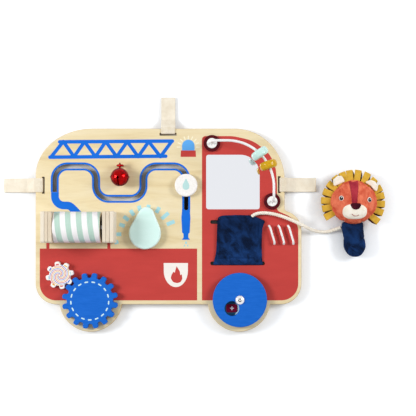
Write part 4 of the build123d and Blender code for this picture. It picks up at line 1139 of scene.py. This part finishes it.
def thick_cloth(name, rows, thickness):
    """Velour of one thickness below a grid of points in millimetres, with soft edges."""
    mesh = bmesh.new()
    grid = [[mesh.verts.new(Vector(point) * millimetre) for point in row] for row in rows]
    for upper, lower in zip(grid, grid[1:]):
        for corners in zip(upper, lower, lower[1:], upper[1:]):
            mesh.faces.new(corners)
    cloth = show(name, settled(name, mesh, closed=False))
    solid = cloth.modifiers.new("thickness", "SOLIDIFY")
    solid.thickness = thickness * millimetre
    solid.offset = -1
    cloth.modifiers.new("soft", "SUBSURF").levels = 1
    apply_modifiers(cloth)
    paint_with(navy_velour, cloth)
    return cloth


def hump(offset, width):
    """1 at no offset, falling to 0 on either side of it."""
    return 2.718 ** (-(offset / width) ** 2)


def sides_at(y):
    """The X of the pocket's two sides at a height up its front."""
    levels, lefts, rights = zip(*pocket_edges[::-1])
    return float(np.interp(y, levels, lefts)), float(np.interp(y, levels, rights))


def smooth_step(value):
    """0 below 0 and 1 above 1, with a smooth rise between them."""
    value = min(1.0, max(0.0, value))
    return value * value * (3 - 2 * value)


def crease(x, y, start, end, width):
    """How near a point is to a fold's line: 1 on the line, fading to 0 off it."""
    run = Vector(end) - Vector(start)
    offset = Vector((x, y)) - Vector(start)
    along = offset.dot(run) / run.length_squared
    aside = (offset - run * min(1.0, max(0.0, along))).length
    fade = smooth_step(along / 0.25 + 0.3) * smooth_step((1 - along) / 0.35 + 0.3)
    return fade * hump(aside, width)


def pocket_height(x, y, share):
    """The height of the pocket's front above the face of the board."""
    levels, heights = zip(*crown_heights[::-1])
    crown = float(np.interp(y, levels, heights))
    side = (1 - abs(2 * share - 1) ** 2.6) ** 0.62
    lift = crown * side
    for height, start, end, width, tapers in creases:
        lift += height * crease(x, y, start, end, width) * (side if tapers else 1)
    lift += side * sum(height * noise.noise(Vector((x / size, y / size, seed)))
                       for size, height, seed in ((12, 1.5, 2.0), (6, 0.55, 7.0)))
    for seam in hem_seams:
        away = abs(y - seam)
        lift -= hem_sink * hump(away, hem_width) * side
        pucker = sin(2 * pi * x / pucker_pitch + 2 * sin(x / 7)) * pucker_height
        lift += pucker * hump(away, pucker_reach) * side
    return max(0.0, lift)


# the navy velour is painted darker towards higher Y, as painted shade at the top of the pocket and
# of the handle
navy_velour = velour("navy_velour", tint(2, 9, 28), tint(27, 64, 122), pile=0.0008,
                     sheen_cloud_size=0.011, sheen=0.12, lean=40, painted_shade_span=(-0.036, 0.008))
pocket_top, pocket_bottom, front_floor = 22.2, -48.6, 14.0
back_top, back_bottom, back_floor, back_inset = 20.0, -46.0, 13.7, 1.5
row_count, column_count = 58, 52
front_rows, seam_lines, back_rows = [], [], []
for i in range(row_count + 1):
    y = pocket_top - (pocket_top - pocket_bottom) * i / row_count
    left, right = sides_at(y)
    row = []
    for k in range(column_count + 1):
        share = k / column_count
        x = left + (right - left) * share
        row.append((x, y, front_floor + pocket_height(x, y, share)))
    front_rows.append(row)
for y in hem_seams:
    left, right = sides_at(y)
    line = []
    for k in range(2, 79):
        x = left + (right - left) * k / 80
        line.append((x, y, front_floor + pocket_height(x, y, k / 80)))
    seam_lines.append(line)
pocket_front = thick_cloth("pocket_front", front_rows, front_thickness)
for i in range(30):
    y = back_top - (back_top - back_bottom) * i / 29
    left, right = sides_at(y)
    back_rows.append([(left + back_inset + (right - left - 2 * back_inset) * k / 24, y,
                       back_floor + 0.1 * sin(k)) for k in range(25)])
pocket_back = thick_cloth("pocket_back", back_rows, back_thickness)
pocket_tabs = []
for left, right, y in ((68.0, 103.0, upper_slot_y), (123.0, 133.0, upper_slot_y),
                       (68.0, 131.0, lower_slot_y)):
    rows = [[(left + (right - left) * k / 24, y + 0.25 * sin(k * 0.9), z) for k in range(25)]
            for z in (13.4, 12.6, 11.0, 9.0, 7.6, 6.6)]
    tab_name = f"pocket_tab_{len(pocket_tabs) + 1}"
    pocket_tabs.append(thick_cloth(tab_name, rows, tab_thickness))
for piece in (pocket_front, pocket_back, *pocket_tabs):
    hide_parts("pocket")
    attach(piece, "board")
# painted shade: the bars behind the pocket's slots are near black, so that the slots read dark
shade_black_bar = solid_wood("black_bar_for_slot_shade", tint(38, 36, 34), tint(14, 13, 12), (8, 1, 1))
paint_nodes(shade_black_bar, "pocket_bars")
navy_thread = cotton("navy_thread", tint(14, 34, 70), tint(3, 10, 28))
stitches("pocket_stitches", navy_thread, "board", seam_lines, length=2.4, gap=1.0, thread=0.5,
         lift=0.1)

# ---- Lion's head
# Two panels of coral velour sewn together round the edge, turned and stuffed with polyester
# wadding, with a tapered gusset of raspberry velour down the brow.
head_middle = Vector((261.6, 40.2, 17.0))
head_cut = (36.2, 34.6, 12.6)     # the flat shell's half sizes before it is stuffed
simulated_scale = 10              # cloth is simulated at ten times its size
shell_voxel, wadding_pressure, stuffing_frames = 1.9, 8.0, 20
lowest_point = 0.0003


def stuffed(name, mesh, cap):
    """Fill a sewn shell, given in millimetres, with wadding. No point moves further than
    the cap."""
    shell = show(name, mesh)
    mesh.transform(Matrix.Scale(simulated_scale * millimetre, 4))
    remesh = shell.modifiers.new("remesh", "REMESH")
    remesh.mode = "VOXEL"
    remesh.voxel_size = shell_voxel * simulated_scale * millimetre
    apply_modifiers(shell)
    cloth = shell.modifiers.new("cloth", "CLOTH")
    cloth.settings.mass = 0.15
    cloth.settings.tension_stiffness = 5
    cloth.settings.compression_stiffness = 5
    cloth.settings.shear_stiffness = 2
    cloth.settings.bending_stiffness = 0.2
    cloth.settings.use_pressure = True
    cloth.settings.uniform_pressure_force = wadding_pressure
    cloth.settings.effector_weights.gravity = 0
    cloth.point_cache.frame_start, cloth.point_cache.frame_end = 1, stuffing_frames
    for frame_number in range(1, stuffing_frames + 1):
        bpy.context.scene.frame_set(frame_number)
    limp = [vertex.co.copy() for vertex in shell.data.vertices]
    apply_modifiers(shell)
    bpy.context.scene.frame_set(1)
    most = cap * simulated_scale * millimetre
    for vertex, start in zip(shell.data.vertices, limp):
        move = vertex.co - start
        vertex.co = start + move * min(1.0, most / max(move.length, 1e-9))
    shell.modifiers.new("finer", "SUBSURF").levels = 1
    apply_modifiers(shell)
    shell.data.transform(Matrix.Scale(1 / simulated_scale, 4))
    return shell


def draw_in(piece, middle, seam_z, width, depth):
    """Draw a stuffed piece in along the seam round it, and rest it on the table."""
    for vertex in piece.data.vertices:
        place = vertex.co
        near = hump(place.z - seam_z * millimetre, width)
        inward = (middle * millimetre - place) * Vector((1, 1, 0))
        vertex.co += inward.normalized() * depth * near
        place.z = max(place.z, lowest_point)


def lens(middle, half_sizes):
    """A flattened shell, fuller than a ball near its rim, in millimetres."""
    mesh = bmesh.new()
    bmesh.ops.create_uvsphere(mesh, u_segments=72, v_segments=36, radius=1.0)
    for vertex in mesh.verts:
        x, y, z = vertex.co
        lift = (abs(z) ** 0.9) * (1 if z > 0 else -1)
        vertex.co = Vector(middle) + Vector((x * half_sizes[0], y * half_sizes[1],
                                             lift * half_sizes[2]))
    return settled("lens", mesh, closed=False)


coral_velour = velour("coral_velour", tint(196, 68, 46), tint(242, 134, 100), sheen_cloud_size=0.009)
head = stuffed("lion_head_plush", lens(head_middle, head_cut), cap=5.0)
draw_in(head, head_middle, head_middle.z, width=0.0012, depth=0.0009)
paint_with(coral_velour, head)
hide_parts("lion_head")
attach(head, "lion")
head_surface = BVHTree.FromObject(head, bpy.context.evaluated_depsgraph_get())


def on_head(x, y):
    """The point of the head's upper side above a place in millimetres, and its normal."""
    start = Vector((x, y, 60.0)) * millimetre
    place, normal, _, _ = head_surface.ray_cast(start, Vector((0, 0, -1)))
    if place is None:
        place, normal, _, _ = head_surface.find_nearest(Vector((x, y, 17.0)) * millimetre)
    return place / millimetre, normal


def centre_of(outline):
    """The middle of an outline's points."""
    return sum((Vector(point) for point in outline), Vector((0, 0))) / len(outline)


def domed(mesh, outline, rings, place_at):
    """Faces over an outline, in millimetres, from its middle out to its edge. place_at
    lifts a spot that is a share of the way out. Returns the middle's point."""
    middle = centre_of(outline)
    levels = []
    for r in range(rings + 1):
        share = sin(pi / 2 * r / rings)
        spots = [middle + (Vector(point) - middle) * share for point in outline]
        levels.append([mesh.verts.new(place_at(spot, share) * millimetre)
                       for spot in (spots if r else spots[:1])])
    for k in range(len(outline)):
        n = (k + 1) % len(outline)
        mesh.faces.new((levels[0][0], levels[1][k], levels[1][n]))
        for inner, outer in zip(levels[1:], levels[2:]):
            mesh.faces.new((inner[k], outer[k], outer[n], inner[n]))
    return levels[0][0]


def applique(name, material, outline, thickness, rings=9, fullness=2.6, tuck=0.5):
    """A patch with a soft raised edge that is sewn to the head, from its outline in
    millimetres, seen from above."""
    def place_at(spot, share):
        place, normal = on_head(*spot)
        lift = thickness * (1 - share ** fullness) ** (1 / fullness) - tuck * share ** 6
        return place + normal * lift
    mesh = bmesh.new()
    crown = domed(mesh, outline, rings, place_at)
    bmesh.ops.recalc_face_normals(mesh, faces=mesh.faces)
    mesh.normal_update()
    if crown.normal.z < 0:
        bmesh.ops.reverse_faces(mesh, faces=mesh.faces)
    patch = show(name, settled(name, mesh, closed=False))
    paint_with(material, patch)
    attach(patch, "lion")
    return patch


def ellipse(centre, half_width, half_height, squareness=2.0, count=48):
    """A closed oval in millimetres, squarer where asked."""
    points = []
    for i in range(count):
        angle = 2 * pi * i / count
        c, s = cos(angle), sin(angle)
        points.append((
            centre[0] + half_width * abs(c) ** (2 / squareness) * (1 if c > 0 else -1),
            centre[1] + half_height * abs(s) ** (2 / squareness) * (1 if s > 0 else -1),
        ))
    return points


def seam_on_head(points):
    """A line on the head above the points, for stitches."""
    return [on_head(*point)[0] for point in points]


# the brow gusset, and the two seams beside it
gusset_top, gusset_bottom, gusset_half, gusset_taper = 71.6, 38.0, 6.4, 2.6
gusset_sides = []
for share in np.linspace(0, 1, 21).tolist():
    y = gusset_top + (gusset_bottom - gusset_top) * share
    gusset_sides.append((y, gusset_half - gusset_taper * smooth_step(share)))
brow_middle = 260.6
gusset = [(brow_middle + half, y) for y, half in gusset_sides]
gusset += [(brow_middle - half, y) for y, half in reversed(gusset_sides)]
raspberry_velour = velour("raspberry_velour", tint(142, 30, 48), tint(186, 60, 72))
applique("brow_gusset", raspberry_velour, gusset, thickness=0.5, fullness=6, tuck=0.3)
raspberry_thread = cotton("raspberry_thread", tint(160, 40, 58), tint(112, 20, 38))
seams = []
for side in (-1, 1):
    line = [(brow_middle + side * (half + 0.1), y) for y, half in gusset_sides[1:-1]]
    seams.append(seam_on_head(line))
stitches("gusset_stitches", raspberry_thread, "lion", seams, length=1.5, gap=0.5, thread=0.45,
         lift=0.15)

# muzzle, nose, mouth and eyes
cream_fleece = velour("cream_fleece", tint(240, 230, 208), tint(254, 249, 238), 0.0007, 0.006)
muzzle = applique(
    "lion_muzzle_patch", cream_fleece, ellipse((261.3, 26.6), 17.2, 10.6, 2.5, 64), thickness=2.2
)
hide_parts("lion_muzzle")
head_and_muzzle = bmesh.new()
head_and_muzzle.from_mesh(head.data)
head_and_muzzle.from_mesh(muzzle.data)
head_surface = BVHTree.FromBMesh(head_and_muzzle)
head_and_muzzle.free()
nose_satin = velour("maroon_velour", tint(46, 8, 20), tint(84, 22, 38))
nose = rounded(
    [(252.9, 38.4), (257.3, 30.4), (262.2, 28.6), (267.1, 30.4), (271.5, 38.4)],
    [2.6, 6.0, 8.0, 6.0, 2.6],
)
applique("lion_nose", nose_satin, nose, thickness=1.6, rings=7)
smile_thread = cotton("rust_thread", tint(186, 88, 62), tint(140, 54, 36))
smile = [(262.2 + 5.6 * cos(a), 25.2 + 4.8 * sin(a)) for a in
         [radians(200 + 140 * i / 20) for i in range(21)]]
stitches("lion_smile", smile_thread, "lion", [seam_on_head(smile)], length=1.9, gap=0.05,
         thread=0.9, lift=0.8)
eye_white = lacquer("white_embroidery", tint(232, 228, 220), tint(252, 250, 246), (1, 1, 1),
                    gloss=0.5)
eye_dark = lacquer("dark_embroidery", tint(10, 8, 12), tint(28, 20, 26), (1, 1, 1), gloss=0.35,
                   shine=0.0)
for side, x, y in (("left", 242.4, 45.4), ("right", 282.1, 43.2)):
    applique(f"{side}_eye_white", eye_white, ellipse((x, y), 3.2, 3.6), 0.35, 5, tuck=0.2)
    applique(f"{side}_eye_iris", eye_dark, ellipse((x + 0.1, y - 0.2), 2.4, 2.8), 0.5, 5,
             tuck=-0.3)
    applique(f"{side}_eye_glint", eye_white, ellipse((x + 0.6, y + 0.8), 0.6, 0.7), 0.62, 4,
             tuck=-0.5)

# ---- Lion's mane
# Sixteen strips of ochre felt, backed with maroon, each folded in two and caught in the seam
# round the head. They are cut and sewn by hand, so that no two lie alike.
strip_angles = [-38.5, -20, -3.5, 13, 28, 47, 63.8, 81.5, 98, 111.5, 127, 143.6, 160, 176.7,
                192, 208.3]
strip_reaches = [45.2, 44.6, 44.4, 44.6, 45.0, 45.4, 46.4, 46.2, 45.8, 45.6, 45.8, 45.6, 46.0,
                 46.2, 45.6, 46.4]
strip_root, strip_width, felt_thickness = 29.0, 9.8, 1.1
strip_tilt, strip_rise, strip_shift = radians(7), 1.2, 2.2
first_turned, last_turned = 98, 200
ochre_felt = cotton("ochre_felt", tint(228, 184, 62), tint(198, 152, 34), 0.0008)
maroon_felt = cotton("maroon_felt", tint(92, 22, 34), tint(50, 6, 16), 0.0008)
mesh = bmesh.new()
for i, (heading, reach) in enumerate(zip(strip_angles, strip_reaches)):
    lay = strip_shift if first_turned < heading < last_turned else -strip_shift
    tilt = strip_tilt * noise.noise(Vector((i * 1.7, 0.3, 4.0)))
    rise = strip_rise * noise.noise(Vector((i * 2.3, 5.1, 0.7)))
    path = rounded(
        [(strip_root, 2.0), (reach, 1.8), (reach, -1.8), (strip_root, -2.0)], [0, 1.75, 1.75, 0]
    )
    line = evenly([Vector((r, 0, z)) for r, z in path], 0.9)
    total = len(line) - 1
    turn = Matrix.Rotation(radians(heading), 4, "Z")
    rings = []
    for k, point in enumerate(line):
        along = (line[min(k + 1, total)] - line[max(k - 1, 0)]).normalized()
        under = Vector((along.z, 0, -along.x))
        out = (point.x - strip_root) / (reach - strip_root)
        shift = lay * smooth_step((k / total - 0.5) * 4)
        half = strip_width / 2 * (0.86 + 0.14 * out)
        ring = []
        for side in (0, 1):
            for c in range(9):
                across = (c / 4 - 1) * (1 if side == 0 else -1)
                edge = 0.35 * abs(across) ** 8
                depth = (edge if side == 0 else felt_thickness - edge)
                place = point + under * depth
                ripple = 0.25 * noise.noise(Vector((i * 3.1, point.x / 5, across * 1.5)))
                place.y = across * half + shift
                place.z += tilt * place.y * out + rise * out + ripple + 0.5 * out ** 2
                spot = head_middle + turn @ place
                ring.append(mesh.verts.new(spot * millimetre))
        rings.append(ring)
    for row in skin(mesh, rings):
        for face in row[9:17]:
            face.material_index = 1
mane = show("mane_strips", settled("mane_strips", mesh))
mane.data.materials.append(ochre_felt)
mane.data.materials.append(maroon_felt)
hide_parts("lion_mane")
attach(mane, "lion")

# ---- Lion's ears
# Cream fleece, cut double and turned, then folded a little at the root and caught in the
# same seam, in front of the mane.
ear_low, ear_high, ear_thickness, ear_dish = 20.0, 23.4, 4.4, 0.9


def ear_pad(name, outline):
    """A soft flap from its outline in millimetres, rising from the root to the tip."""
    out = (centre_of(outline) - head_middle.xy).normalized()
    reaches = [(Vector(point) - head_middle.xy).dot(out) for point in outline]
    near, far = min(reaches), max(reaches)
    mesh = bmesh.new()
    for side in (1, -1):
        def place_at(spot, share):
            full = (1 - share ** 3) ** 0.5 if share < 1 else 0.0
            hollow = ear_dish * (1 - share ** 2) if side == 1 else 0.0
            rise = ((spot - head_middle.xy).dot(out) - near) / (far - near)
            z = ear_low + (ear_high - ear_low) * rise + side * ear_thickness / 2 * full - hollow
            return Vector((*spot, z))
        domed(mesh, outline, 8, place_at)
    bmesh.ops.remove_doubles(mesh, verts=mesh.verts, dist=1e-6)
    ear = show(name, settled(name, mesh))
    paint_with(cream_fleece, ear)
    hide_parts("lion_ears")
    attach(ear, "lion")


left_ear = rounded(
    [(233.2, 62.2), (231.6, 71.6), (238.6, 77.4), (244.4, 77.2), (249.4, 69.4)],
    [2.0, 4.0, 4.0, 3.6, 2.0],
)
right_ear = rounded(
    [(276.2, 68.6), (284.6, 71.6), (291.0, 69.4), (295.4, 62.4), (294.2, 55.4), (290.6, 56.4),
     (285.0, 63.4)],
    [1.6, 4.0, 5.0, 4.5, 1.8, 1.6, 6.0],
)
ear_pad("left_ear", left_ear)
ear_pad("right_ear", right_ear)

# ---- Lion's handle
# A stuffed grip of navy velour below the head, sewn into its lower edge. The cord's end is
# caught in the same seam.
handle_outline = rounded(
    [
        (245.6, 13.0), (245.0, 5.0), (248.2, -9.0), (248.0, -24.0), (255.8, -37.4),
        (272.0, -37.8), (280.2, -24.4), (277.4, -8.0), (275.4, 4.0), (276.2, 13.0),
    ],
    [3.0, 16.0, 30.0, 13.0, 13.0, 12.5, 13.5, 26.0, 18.0, 3.0],
)
handle_middle, handle_middle_z, handle_half = Vector((265.0, -12.0, 0)), 12.4, 9.4


def pill(outline, middle_z, half_height):
    """A shell with a rounded side all round an outline, in millimetres."""
    middle = centre_of(outline)
    mesh = bmesh.new()
    levels = []
    for i in range(13):
        angle = pi * (i / 12 - 0.5)
        inset = 1 - 0.30 * (1 - cos(angle))
        level = []
        for point in outline:
            spot = middle + (Vector(point) - middle) * inset
            level.append(mesh.verts.new((*spot, middle_z + half_height * sin(angle))))
        levels.append(level)
    skin(mesh, levels)
    return settled("pill", mesh, closed=False)


handle_shell = pill(handle_outline, handle_middle_z, handle_half)
handle = stuffed("lion_handle_plush", handle_shell, cap=3.5)
draw_in(handle, handle_middle, handle_middle_z, width=0.001, depth=0.0007)
paint_with(navy_velour, handle)
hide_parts("lion_handle")
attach(handle, "lion")
